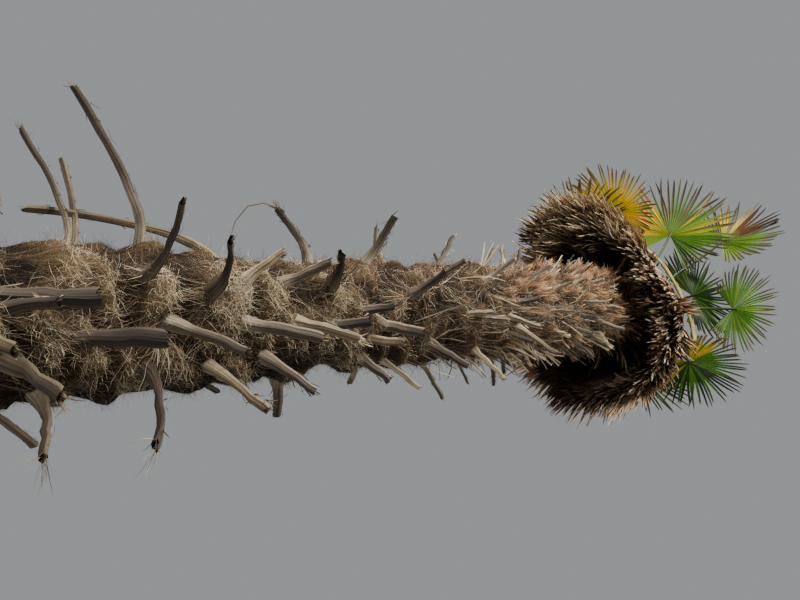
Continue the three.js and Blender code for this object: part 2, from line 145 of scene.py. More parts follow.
def wrapped_noise(rng: np.random.Generator, cells: tuple[int, int], size: tuple[int, int]) -> Array:
    """Soft random relief on a sheet whose columns wrap round.

    Args:
        rng: The source of random numbers.
        cells: How many random cells the sheet has, as rows and columns.
        size: The sheet's own rows and columns.

    Returns:
        An array of the sheet's size with values between -1 and 1.
    """
    rows, columns = cells
    grid = rng.uniform(-1, 1, (rows + 1, columns))
    v = np.linspace(0, rows, size[0], endpoint=False)
    u = np.linspace(0, columns, size[1], endpoint=False)
    r, c = v.astype(int), u.astype(int)
    fv, fu = smooth_step(0, 1, v - r)[:, None], smooth_step(0, 1, u - c)
    right = (c + 1) % columns
    low = between(grid[r][:, c], grid[r][:, right], fu)
    high = between(grid[r + 1][:, c], grid[r + 1][:, right], fu)
    return between(low, high, fv)


# Finishes


def linear(code: Hex) -> tuple[float, float, float, float]:
    """Turns an sRGB hex colour, such as 0x6B5745, into linear red, green, blue and an alpha of 1."""
    parts = [((code >> shift) & 255) / 255 for shift in (16, 8, 0)]
    return (*(p / 12.92 if p <= 0.04045 else ((p + 0.055) / 1.055) ** 2.4 for p in parts), 1.0)


def add(tree: bpy.types.NodeTree, kind: str, inputs: dict | None = None) -> bpy.types.Node:
    """Adds a node with its settings and the links that come into it.

    Args:
        tree: The node tree that gets the node.
        kind: The node's type, without the ShaderNode that it starts with.
        inputs: By the name of a property, or by the name or number of an input, its value or the
            node or socket that feeds it. A colour ramp takes "stops", with places and hex colours.

    Returns:
        The new node.
    """
    node = tree.nodes.new("ShaderNode" + kind)
    for key, value in (inputs or {}).items():
        if key == "stops":
            ramp = node.color_ramp.elements
            while len(ramp) < len(value):
                ramp.new(0.5)
            for element, (place, colour) in zip(ramp, value):
                element.position, element.color = place, linear(colour)
        elif isinstance(value, bpy.types.Node):
            tree.links.new(value.outputs[0], node.inputs[key])
        elif isinstance(value, bpy.types.NodeSocket):
            tree.links.new(value, node.inputs[key])
        elif isinstance(key, str) and hasattr(node, key):
            setattr(node, key, value)
        else:
            node.inputs[key].default_value = value
    return node


@dataclass(frozen=True)
class Finish:
    """A finish by its plain name, with its colours and the gloss that its kind of surface has."""

    name: str
    colours: tuple[Hex, ...]
    roughness: float = 0.8
    ior: float = 1.4
    # The share of light that comes through, for a finish whose pattern says its colour
    see_through: float = 0.0

    def pattern(self, put: Put) -> Look:
        """Draws the pattern, which every kind of finish does for itself."""
        raise NotImplementedError(self.name)

    def material(self) -> bpy.types.Material:
        """Makes the material, with its pattern wired to the shader.

        Returns:
            The material.
        """
        material = bpy.data.materials.new(self.name)
        material.use_nodes = True
        material.node_tree.nodes.clear()
        put = partial(add, material.node_tree)
        look = self.pattern(put)
        through = look.pop("through", None)
        # Dry fibres shade each other, so the roughest stuff has next to no gloss
        gloss = 0.12 if self.roughness >= 0.8 else 0.5
        settings = {"Roughness": self.roughness, "IOR": self.ior, "Specular IOR Level": gloss}
        surface = put("BsdfPrincipled", settings | look)
        if through:
            thin = put("BsdfTranslucent", {"Color": through})
            surface = put("MixShader", {0: self.see_through, 1: surface, 2: thin})
        put("OutputMaterial", {"Surface": surface})
        return material


@dataclass(frozen=True)
class FibreMat(Finish):
    """Palm fibre: brown hairs woven and matted by growth, as in coir matting. Rough and dry, it is painted
    dark with shade where it lies deep or in the shade, and pale with painted light on its crests and on the
    side towards the light, where its edges also weather. Its colours run from deep to worn, the deepest for
    painted shade and the palest for painted light and wear."""

    def pattern(self, put: Put) -> Look:
        """Draws three crossing layers of hairs over the painted light and shade that the relief attribute
        carries.

        Args:
            put: Adds a node to the material.

        Returns:
            What feeds the shader.
        """
        place = put("UVMap", {"uv_map": "UVMap"})
        hairs = 0.0
        for turn in (0.3, -0.55, 1.15):
            # Real hairs are 0.5 mm thick. They are drawn 3.5 mm wide, or they wouldn't show.
            stretch = {"vector_type": "TEXTURE", "Rotation": (0, 0, turn), "Scale": (0.0035, 0.05, 1)}
            turned = put("Mapping", {**stretch, "Vector": place})
            drawn = {"Scale": 1.0, "Detail": 2.0, "Roughness": 0.6, "Distortion": 0.6, "Vector": turned}
            hairs = put("Math", {"operation": "MAXIMUM", 0: hairs, 1: put("TexNoise", drawn)})
        reach = {"From Min": 0.42, "From Max": 0.74, "To Min": 0.3, "To Max": 0.86}
        crossed = put("MapRange", {**reach, "Value": hairs})
        # Patches the size of a hand, where the mat has weathered more
        patches = put("TexNoise", {"Scale": 9.0, "Detail": 4.0, "Roughness": 0.65, "Vector": place})
        mixed = put("Math", {"operation": "MULTIPLY_ADD", 0: patches, 1: 0.55, 2: crossed})
        # Painted light and shade from the relief attribute lighten the crests and darken the hollows
        relief = put("Attribute", {"attribute_name": "relief"}).outputs["Fac"]
        lit = put("Math", {"operation": "MULTIPLY_ADD", 0: relief, 1: 0.6, 2: mixed})
        scaled = put("Math", {"operation": "MULTIPLY", 0: lit, 1: 0.62})
        stops = list(zip((0.42, 0.6, 0.76, 0.92), self.colours))
        return {
            "Base Color": put("ValToRGB", {"stops": stops, 0: scaled}),
            "Normal": put("Bump", {"Strength": 0.9, "Distance": 0.004, "Height": crossed}),
        }


@dataclass(frozen=True)
class Dry(Finish):
    """Dry plant stuff such as hairs, dead leaf blades and stalks: cellulose with no wax left, so it
    is matt. Its colour runs along the piece, and changes softly from place to place. Its colours are
    those of the foot, the middle, the tip, the blotches and, where it has paler ones, the edges."""

    blotch_share: float = 0.5
    # How strongly the long fibres show, and how many of them lie side by side
    grain: float = 0.0
    fibres: float = 14.0
    edge_share: float = 0.4
    # The shares of the length where foot, middle and tip have their own colour
    places: tuple = (0.05, 0.5, 0.95)

    def pattern(self, put: Put) -> Look:
        """Draws a ramp along the piece, blotches by place and long fibres.

        Args:
            put: Adds a node to the material.

        Returns:
            What feeds the shader.
        """
        place = put("UVMap", {"uv_map": "UVMap"})
        spot = put("TexCoord").outputs["Object"]
        split = put("SeparateXYZ", {0: place})
        stops = list(zip(self.places, self.colours))
        ramp = put("ValToRGB", {"stops": stops, 0: split.outputs["Y"]})
        blotches = put("TexNoise", {"Scale": 14.0, "Detail": 3.0, "Vector": spot})
        reach = {"From Min": 0.42, "From Max": 0.68, "To Max": self.blotch_share}
        share = put("MapRange", {**reach, "Value": blotches})
        colour = put("Mix", {"data_type": "RGBA", 0: share, 6: ramp, 7: linear(self.colours[3])})
        if len(self.colours) > 4:
            # 0 in the middle of the piece and half at both of its edges
            off = put("Math", {"operation": "SUBTRACT", 0: split.outputs["X"], 1: 0.5})
            out = put("Math", {"operation": "ABSOLUTE", 0: off})
            reach = {"From Min": 0.26, "From Max": 0.42, "To Max": self.edge_share}
            layers = {0: put("MapRange", {**reach, "Value": out}), 6: colour.outputs[2]}
            colour = put("Mix", {"data_type": "RGBA", **layers, 7: linear(self.colours[4])})
        if not self.grain:
            return {"Base Color": colour.outputs[2]}
        # Long fibres in the stalk, about 1 mm apart and drawn 2 mm apart
        lengthways = put("Mapping", {"Scale": (self.fibres, 1.2, 1), "Vector": place})
        moved = put("VectorMath", {"operation": "ADD", 0: lengthways, 1: spot})
        fibres = put("TexNoise", {"Scale": 1.0, "Detail": 2.0, "Vector": moved})
        reach = {"From Min": 0.32, "From Max": 0.68, "To Min": 0.3, "To Max": 1.5}
        streak = put("MapRange", {**reach, "Value": fibres})
        return {
            "Base Color": put("VectorMath", {"operation": "MULTIPLY", 0: colour.outputs[2], 1: streak}),
            "Normal": put("Bump", {"Strength": self.grain, "Distance": 0.003, "Height": fibres}),
        }


@dataclass(frozen=True)
class Blade(Finish):
    """A living fan leaf: a tough pleated blade with a thin wax on it, so it is half glossy. Light
    comes through it, which makes it yellower against a bright sky. Its colours are those of the
    foot, the middle, the tip and the light that comes through."""

    roughness: float = 0.5

    def pattern(self, put: Put) -> Look:
        """Draws a colour ramp from hub to tip, fine veins, and light through the blade.

        Args:
            put: Adds a node to the material.

        Returns:
            What feeds the shader.
        """
        foot, middle, tip, through = self.colours
        place = put("UVMap", {"uv_map": "UVMap"})
        reached = put("SeparateXYZ", {0: place}).outputs["Y"]
        spot = put("TexCoord").outputs["Object"]
        uneven = put("TexNoise", {"Scale": 11.0, "Detail": 2.0, "Vector": spot})
        moved = put("Math", {"operation": "MULTIPLY_ADD", 0: uneven, 1: 0.34, 2: reached})
        along = put("Math", {"operation": "SUBTRACT", 0: moved, 1: 0.17})
        # Veins along each segment, 1 mm apart on the leaf and drawn 3 mm apart
        veins_at = put("Mapping", {"Scale": (9, 0.6, 1), "Vector": place})
        veins = put("TexNoise", {"Scale": 1.0, "Detail": 1.0, "Vector": veins_at})
        # The wax has gone from the dry points
        waxless = {"From Min": 0.5, "From Max": 0.8, "To Min": self.roughness, "To Max": 0.95}
        stops = [(0.1, foot), (0.38, middle), (0.58, middle), (0.84, tip)]
        glow = [(0.0, through), (0.55, through), (0.8, tip)]
        return {
            "Base Color": put("ValToRGB", {"stops": stops, 0: along}),
            "Normal": put("Bump", {"Strength": 0.35, "Distance": 0.002, "Height": veins}),
            "Roughness": put("MapRange", {**waxless, "Value": along}),
            "through": put("ValToRGB", {"stops": glow, 0: along}),
        }


@dataclass(frozen=True)
class Paper(Finish):
    """Matt seamless paper for the studio floor."""

    def pattern(self, put: Put) -> Look:
        """Draws a faint unevenness.

        Args:
            put: Adds a node to the material.

        Returns:
            What feeds the shader.
        """
        spot = put("TexCoord").outputs["Object"]
        uneven = put("TexNoise", {"Scale": 2.0, "Detail": 2.0, "Vector": spot})
        return {"Base Color": put("ValToRGB", {"stops": list(zip((0.3, 0.7), self.colours)), 0: uneven})}


class Tint(Enum):
    """The looks that a segment of a green fan leaf may have."""

    DEEP = Blade("deep green blade", (0x1A2C0A, 0x18280A, 0x262816, 0x28400A), see_through=0.18)
    GREEN = Blade("green blade", (0x3A581A, 0x305012, 0x444426, 0x4C7810), see_through=0.3)
    LIME = Blade("light green blade", (0x4A661A, 0x54691A, 0x565234, 0x6C8C12), see_through=0.32)
    YELLOW = Blade("yellowing blade", (0x46600F, 0x8A7A14, 0x5E4A2A, 0x988A10), see_through=0.28)
    ORANGE = Blade("orange blade", (0x5E6C14, 0xAC7C14, 0x6A4E2A, 0xB8860E), 0.55, see_through=0.28)
    DRY_TIP = Blade("drying blade", (0x3E5212, 0x3E3A22, 0x2C2822, 0x44481E), 0.65, see_through=0.12)
    RUSTY = Blade("rusty blade", (0x4A5A1A, 0x3F2817, 0x2C241C, 0x402A18), 0.85, see_through=0.06)


def shades(stuff: str, colours: dict[str, tuple[Hex, ...]], **settings: float | tuple) -> tuple[Dry, ...]:
    """The finishes of one dry stuff in several shades, by the shades' names."""
    return tuple(Dry(f"{stuff}, {shade}", codes, **settings) for shade, codes in colours.items())


# Matted fibre is matt; its nearly black deepest colour is painted shade, where the mat lies deep
FIBRE_MAT = FibreMat("trunk fibre mat", (0x0C0906, 0x241C13, 0x3E3323, 0x4C3F2B), 0.95)
# Fibre that still lies in its weave is red brown, and greys as it weathers. Its dark shade is also painted
# shade, for hairs in the hollows and in the shade
COMBED = shades(
    "combed fibre",
    {
        "red brown": (0x46321F, 0x644A31, 0x785D42, 0x291D13),
        "grey brown": (0x383126, 0x4C4536, 0x625A49, 0x221D16),
        "dark": (0x13100C, 0x1A1610, 0x262018, 0x0D0B08),
    },
    roughness=0.85,
)
# Fibre that has frayed out of the weave is bleached by the sun, from brown to straw. On the collars' frayed
# edges these shades are also painted light and shade: straw where lit, brown in the shade
FRIZZ = shades(
    "frayed fibre",
    {
        "straw": (0x8A7F68, 0xA99E86, 0xC0B59B, 0x6A5F4D),
        "tan": (0x5E5442, 0x7A6E58, 0x91846C, 0x43392C),
        "brown": (0x2B221A, 0x3A2F24, 0x4A3E30, 0x1B1610),
        "red brown": (0x453224, 0x634B38, 0x7B624D, 0x2C2118),
    },
)
# Young fibre under the crown is dark at its foot and fox red at its tip
TUFT = shades(
    "shaggy fibre",
    {
        "red brown": (0x120B07, 0x5E4430, 0x9A7859, 0x1E130C),
        "tan": (0x1A120B, 0x684F36, 0xA88B68, 0x261C12),
    },
    roughness=0.85,
    blotch_share=0.6,
    places=(0.25, 0.6, 0.95),
)
# Old stalks are grey wood with a coarse grain, paler at the edges, where the skin has worn off
STALK = shades(
    "old leaf stalk",
    {
        "grey": (0x7A7060, 0x433A2E, 0x322A21, 0x221B14, 0x7A6E5A),
        "straw": (0x83785F, 0x5F533F, 0x493E2D, 0x3A3023, 0x8C7F66),
        "dark": (0x51473A, 0x2E251B, 0x1F1811, 0x120D09, 0x544839),
        "pale": (0x82745A, 0x8E8066, 0x9E9074, 0x54483A, 0xA99B80),
    },
    roughness=0.75,
    blotch_share=0.6,
    grain=0.8,
    fibres=7,
    places=(0.3, 0.55, 0.95),
)
# Dead blades are matt and papery, with pale edges where they crack. The darkest shade is for old blades and
# is also painted shade, inside the skirt and on its shaded right side
DEAD = shades(
    "dead blade",
    {
        "brown": (0x55463C, 0x8A755F, 0xAC967A, 0x4E4032, 0x9E8A6E),
        "grey brown": (0x665A4B, 0x9E8D76, 0xBCAB90, 0x625545, 0xAE9F86),
        "straw": (0x847558, 0xB8A888, 0xD2C4A2, 0x86765A, 0xC8BA98),
        "rusty": (0x564236, 0x8A6E56, 0xAE8E70, 0x524032, 0xA28466),
        "old and dark, also painted shade": (0x1E1711, 0x352B21, 0x504334, 0x201912, 0x463A2E),
    },
    blotch_share=0.45,
    grain=0.4,
    fibres=6,
    edge_share=0.3,
)
# Living stalks still have their wax, so they are smoother than the dry ones and have a dull sheen
GREEN_STALK = Dry(
    "green leaf stalk", (0x2C3612, 0x22300A, 0x1E2A08, 0x262A12), 0.6, blotch_share=0.35, grain=0.3
)
YOUNG = Blade("folded young leaf", (0x8AA04A, 0x94B050, 0xA8B060, 0xB4CC60), 0.4, see_through=0.2)
FRUIT_WOOD = Dry("fruit stalk", (0x5E6428, 0x7E8238, 0x8E8644, 0x5E5A2E), 0.55, grain=0.4)
# The bracts have dried to brown paper
BRACT = Dry("papery bract", (0x8A8446, 0x8A7C44, 0x7C683E, 0x5C4C2E), 0.75, grain=0.5)
FLOOR_PAPER = Paper("studio floor paper", (0xD9D6CF, 0xDDDAD3), 0.9)


def made(finish: Finish) -> bpy.types.Material:
    """The finish's material, made the first time that it is asked for."""
    return bpy.data.materials.get(finish.name) or finish.material()


# Modelling


class Domain(Enum):
    """What a pick in edit mode selects."""

    CORNER = "verts"
    EDGE = "edges"
    FACE = "faces"


def start_shape(kind: str, **size: float) -> bpy.types.Object:
    """Adds a primitive with nothing else selected, and opens it in edit mode with nothing picked.

    Args:
        kind: The primitive's name, such as "grid".
        **size: The primitive's own size and place.

    Returns:
        The new object.
    """
    if bpy.ops.object.mode_set.poll():
        bpy.ops.object.mode_set(mode="OBJECT")
    for other in bpy.context.view_layer.objects:
        other.select_set(False)
    getattr(bpy.ops.mesh, f"primitive_{kind}_add")(**size)
    bpy.ops.object.transform_apply(location=True, rotation=True, scale=True)
    bpy.ops.object.mode_set(mode="EDIT")
    bpy.ops.mesh.select_all(action="DESELECT")
    return bpy.context.object


def pick(shape: bpy.types.Object, test: Callable[[Vector], bool], domain: Domain = Domain.CORNER) -> None:
    """Selects in edit mode what lies where a test says, and nothing else.

    Args:
        shape: The object in edit mode.
        test: Tells from a corner's place whether it is picked. An edge or face needs all corners.
        domain: What is picked.
    """
    bpy.ops.mesh.select_all(action="DESELECT")
    bpy.ops.mesh.select_mode(type={"verts": "VERT", "edges": "EDGE", "faces": "FACE"}[domain.value])
    mesh = bmesh.from_edit_mesh(shape.data)
    for item in getattr(mesh, domain.value):
        corners = [item] if domain is Domain.CORNER else item.verts
        item.select_set(all(test(corner.co) for corner in corners))
    mesh.select_flush_mode()
    bmesh.update_edit_mesh(shape.data)


def shift(x: float = 0.0, y: float = 0.0, z: float = 0.0) -> None:
    """Moves what is picked."""
    bpy.ops.transform.translate(value=(x, y, z))


@dataclass
class Template:
    """A shape modelled once: x runs across it, y along it from 0 to 1, and z up."""

    corners: Array
    faces: list[tuple[int, ...]]

    @classmethod
    def taken_from(cls, shape: bpy.types.Object) -> "Template":
        """Takes a finished shape's corners and faces, and clears the object away.

        Args:
            shape: The object, in edit mode.

        Returns:
            The template.
        """
        bpy.ops.mesh.select_all(action="SELECT")
        bpy.ops.mesh.normals_make_consistent(inside=False)
        bpy.ops.object.mode_set(mode="OBJECT")
        mesh = shape.data
        corners = np.array([vertex.co for vertex in mesh.vertices])
        template = cls(corners, [tuple(face.vertices) for face in mesh.polygons])
        bpy.data.objects.remove(shape)
        bpy.data.meshes.remove(mesh)
        return template

    @classmethod
    def strip(cls, across: int, steps: int) -> bpy.types.Object:
        """Opens a flat strip, one wide and one long.

        Args:
            across: How many faces wide it is.
            steps: How many faces long it is.

        Returns:
            The object in edit mode.
        """
        shape = start_shape("grid", x_subdivisions=across, y_subdivisions=steps, size=1)
        bpy.ops.mesh.select_all(action="SELECT")
        shift(y=0.5)
        return shape

    @classmethod
    def ribbon(cls, steps: int) -> "Template":
        """A flat hair that ends in a point.

        Args:
            steps: How many faces long it is.

        Returns:
            The template.
        """
        shape = cls.strip(1, steps)
        pick(shape, lambda at: at.y > 0.999)
        bpy.ops.mesh.merge(type="CENTER")
        return cls.taken_from(shape)

    @classmethod
    def folded_segment(cls, steps: int) -> "Template":
        """A leaf segment folded along its middle, which splits into two short points at its end.

        Args:
            steps: How many faces long it is.

        Returns:
            The template.
        """
        shape = cls.strip(2, steps)
        pick(shape, lambda at: abs(at.x) < 0.01)
        shift(z=0.5)
        pick(shape, lambda at: abs(at.x) > 0.4)
        shift(z=-0.5)
        pick(shape, lambda at: at.y > 0.999 and abs(at.x) < 0.01)
        shift(y=-0.07)
        return cls.taken_from(shape)

    @classmethod
    def bar(
        cls, steps: int, sides: int, channel: float, torn: float = 0, rough: float = 0, seed: int = SEED
    ) -> "Template":
        """A leaf stalk: keeled below, hollow along its top, and closed at both ends.

        Args:
            steps: How many rings of faces long it is.
            sides: How many corners its section has, an even number.
            channel: How deep the hollow along its top is, as a share of the section.
            torn: How unevenly its far end is cut, as a share of its length. A torn end is hollow.
            rough: How uneven its sides are, as a share of the section.
            seed: Tells one torn or rough bar from another.

        Returns:
            The template.
        """
        upright = (math.pi / 2, 0, 0)
        shape = start_shape("circle", vertices=sides, radius=0.5, fill_type="NGON", rotation=upright)
        pick(shape, lambda at: at.z > 0.1)
        bpy.ops.transform.resize(value=(1.25, 1, 0.6), center_override=(0, 0, 0.1))
        pick(shape, lambda at: at.z > 0.1 and abs(at.x) < 0.35)
        shift(z=-channel)
        pick(shape, lambda at: at.z < -0.4 and abs(at.x) < 0.2)
        shift(z=-0.12)
        bpy.ops.mesh.select_all(action="SELECT")
        bpy.ops.transform.resize(value=(0.8, 1, 1), center_override=(0, 0, 0))
        for step in range(steps):
            domain = Domain.CORNER if step else Domain.FACE
            pick(shape, lambda at, reached=step / steps: abs(at.y - reached) < 1e-4, domain)
            bpy.ops.mesh.extrude_region_move(TRANSFORM_OT_translate={"value": (0, 1 / steps, 0)})
        if rough:
            pick(shape, lambda at: 0.05 < at.y < 0.999)
            bpy.ops.transform.vertex_random(offset=rough, uniform=0.5, normal=0.0, seed=seed)
        if torn:
            pick(shape, lambda at: at.y > 0.999, Domain.FACE)
            bpy.ops.mesh.inset(thickness=0.1)
            shift(y=-2.5 * torn)
            pick(shape, lambda at: at.y > 0.999)
            bpy.ops.transform.vertex_random(offset=torn, uniform=0.6, normal=0.0, seed=seed)
        return cls.taken_from(shape)


@dataclass
class Paths:
    """Lines that copies of a template are laid along: arrays of copies by stations.

    at, side and up end in x, y, z. width and depth scale the template's x and z.
    """

    at: Array
    side: Array
    up: Array
    width: Array
    depth: Array

    @classmethod
    def facing(cls, at: Array, away: Array, width: Array, depth: Array | None = None) -> "Paths":
        """Paths along lines, with the template's z turned towards a direction.

        Args:
            at: The lines' places.
            away: The direction, for each place or for all.
            width: The width of each line, or at each of its places.
            depth: The depth, if it differs from the width.

        Returns:
            The paths.
        """
        along = unit(np.gradient(at, axis=1))
        side = unit(np.cross(along, away))
        sizes = (width, width if depth is None else depth)
        wide, deep = (np.broadcast_to(size.reshape(len(at), -1), at.shape[:2]) for size in sizes)
        return cls(at, side, np.cross(side, along), wide, deep)

    def chosen(self, which: Array | slice) -> "Paths":
        """Some of the lines, by a mask or a slice."""
        return Paths(*(values[which] for values in (self.at, self.side, self.up, self.width, self.depth)))

    def lay(self, template: Template) -> Array:
        """Places one copy of the template along each line.

        Args:
            template: The shape to copy.

        Returns:
            The copies' corners, copies by corners by x, y, z.
        """
        stations = self.at.shape[1]
        place = np.clip(template.corners[:, 1], 0, 1) * (stations - 1)
        first = np.minimum(place.astype(int), stations - 2)
        share = (place - first)[:, None]

        def sampled(values: Array) -> Array:
            """The values at each corner's place along the line."""
            values = values.reshape(*values.shape[:2], -1)
            return between(values[:, first], values[:, first + 1], share)

        x = sampled(self.width) * template.corners[:, :1]
        z = sampled(self.depth) * template.corners[:, 2:]
        return sampled(self.at) + sampled(self.side) * x + sampled(self.up) * z


@dataclass
class Joined:
    """A mesh joined from laid copies, which keeps a finish for each copy and a UV along it."""

    name: str
    finishes: Sequence[Finish]
    slot: str = "trunk"
    nodes: Sequence[str] = ("trunk",)
    # Folds sharper than this many degrees stay crisp
    crease: float = 38
    corners: list[Array] = field(default_factory=list)
    uvs: list[Array] = field(default_factory=list)
    faces: list[tuple[int, ...]] = field(default_factory=list)
    kinds: list[int] = field(default_factory=list)
    count: int = 0

    def add(self, template: Template, paths: Paths, kinds: Array | int = 0) -> "Joined":
        """Lays a template along lines and keeps the copies.

        Args:
            template: The shape to copy.
            paths: The lines.
            kinds: Each copy's finish, as a place in the finishes, or one for all.

        Returns:
            The joined mesh itself.
        """
        laid = paths.lay(template) * MM
        copies, size = laid.shape[:2]
        self.corners.append(laid.reshape(-1, 3))
        self.uvs.append(np.tile(template.corners[:, :2] + (0.5, 0), (copies, 1)))
        for copy, kind in enumerate(np.broadcast_to(kinds, (copies,)).tolist()):
            start = self.count + copy * size
            self.faces.extend(tuple(start + corner for corner in face) for face in template.faces)
            self.kinds.extend([kind] * len(template.faces))
        self.count += copies * size
        return self

    def build(self) -> None:
        """Makes the mesh object, dresses it and hands it to the frame."""
        mesh = bpy.data.meshes.new(self.name)
        mesh.from_pydata(np.concatenate(self.corners).tolist(), [], self.faces)
        piece = bpy.data.objects.new(self.name, mesh)
        bpy.context.scene.collection.objects.link(piece)
        order = np.empty(len(mesh.loops), np.int32)
        mesh.loops.foreach_get("vertex_index", order)
        layer = mesh.uv_layers.new(name="UVMap")
        layer.data.foreach_set("uv", np.concatenate(self.uvs)[order].astype(np.float32).ravel())
        mesh.polygons.foreach_set("material_index", np.array(self.kinds, np.int32))
        mesh.shade_smooth()
        mesh.set_sharp_from_angle(angle=math.radians(self.crease))
        for finish in self.finishes:
            mesh.materials.append(made(finish))
        hand_over(piece, self.nodes)


def hand_over(piece: bpy.types.Object, nodes: Sequence[str]) -> None:
    """Makes a piece ride on the palm's body, and hides the CAD nodes that it replaces.

    Args:
        piece: The finished piece.
        nodes: The CAD nodes that it replaces.
    """
    piece.data.update()
    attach(piece, BODY)
    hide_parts(*nodes)
    log.info("%s: %d faces", piece.name, len(piece.data.polygons))


# The trunk


@dataclass
class StubRule:
    """The rule that places every stub, the ones of the spiral first, as the source has it."""

    # from, to, pitch, shortest, longest, leanest, widest, and whether only the back has them
    zones: tuple = (
        (260, 1850, 56, 60, 150, 25, 55, False),
        (1850, 2640, 29, 95, 190, 20, 78, True),
        (2640, 3250, 29, 85, 150, 24, 74, False),
        (3250, 4140, 22, 70, 125, 24, 66, False),
        (4140, 4590, 26, 25, 60, 12, 40, False),
    )
    # The sine of the azimuth from which a place counts as the back
    hind_from: float = 0.25
    # azimuth, height, length, lean from upright, sway to the side, and 0 grey, 1 straw, 2 dark, 3 pale
    front: tuple = (
        (170, 2160, 330, 100, -0.2, 0), (150, 2040, 310, 90, -0.1, 0), (140, 2040, 300, 75, 0, 1),
        (140, 2430, 420, 160, 0, 1), (240, 2080, 165, 95, -0.15, 2), (280, 1910, 155, 40, -0.15, 2),
        (240, 1770, 190, 25, 0.65, 2), (260, 2080, 160, 60, 0.6, 0), (265, 2220, 170, 50, 0.35, 0),
        (265, 2370, 145, 55, 0.4, 1), (300, 2180, 140, 65, 0.15, 1), (295, 2300, 130, 60, 0.25, 0),
        (310, 2600, 105, 55, 0.1, 0), (295, 2080, 180, 110, 0.15, 2), (285, 1850, 110, 70, 0.2, 0),
        (240, 2250, 105, 60, -0.15, 3), (250, 2210, 150, 110, -0.2, 2), (170, 2610, 140, 110, -0.25, 0),
        (245, 2530, 90, 110, -0.35, 2), (235, 2360, 115, 45, 0, 0), (265, 2580, 85, 45, -0.1, 2),
        (285, 2480, 95, 50, -0.45, 2), (300, 2570, 135, 35, -0.4, 1), (5, 2470, 95, 75, 0.15, 0),
        (320, 1930, 90, 100, 0, 0), (270, 1820, 55, 65, 0.3, 1), (275, 3110, 80, 45, 0, 0),
        (265, 3260, 115, 55, 0.55, 1), (280, 3340, 155, 65, 0.55, 1), (0, 3420, 100, 75, 0, 0),
        (315, 3430, 75, 70, 0.3, 3), (185, 3500, 60, 85, -0.15, 3), (0, 3510, 65, 75, 0.05, 0),
        (295, 3570, 100, 40, 0, 3), (265, 3970, 95, 40, 0.05, 1), (290, 4020, 100, 65, 0.75, 3),
    )
    turn: float = 9
    sway: float = 0.35
    # Above 1, so that short stubs outnumber long ones
    length_bias: float = 1.6

    def rows(self) -> Array:
        """Every stub's azimuth, height, length, lean and sway.

        Returns:
            An array of stubs by those five numbers.
        """
        rows, index = [], 0
        for start, end, pitch, shortest, longest, leanest, widest, hind in self.zones:
            for height in range(start, end, pitch):
                azimuth = index * GOLDEN_ANGLE + between(-self.turn, self.turn, chance(index, 1))
                if not (hind and math.sin(math.radians(azimuth)) < self.hind_from):
                    long = between(shortest, longest, chance(index, 2) ** self.length_bias)
                    lean = between(leanest, widest, chance(index, 3))
                    sway = between(-self.sway, self.sway, chance(index, 4))
                    rows.append((azimuth, height, long, lean, sway))
                index += 1
        return np.array([*rows, *(row[:5] for row in self.front)], float)


@dataclass(frozen=True)
class Growth:
    """How the strands of one kind grow on the mat, in millimetres and degrees."""

    steps: int
    length: tuple[float, float]
    lift: tuple[float, float]
    # How widely their angle from upright varies, and their turn along the way
    lean: float
    bow: float


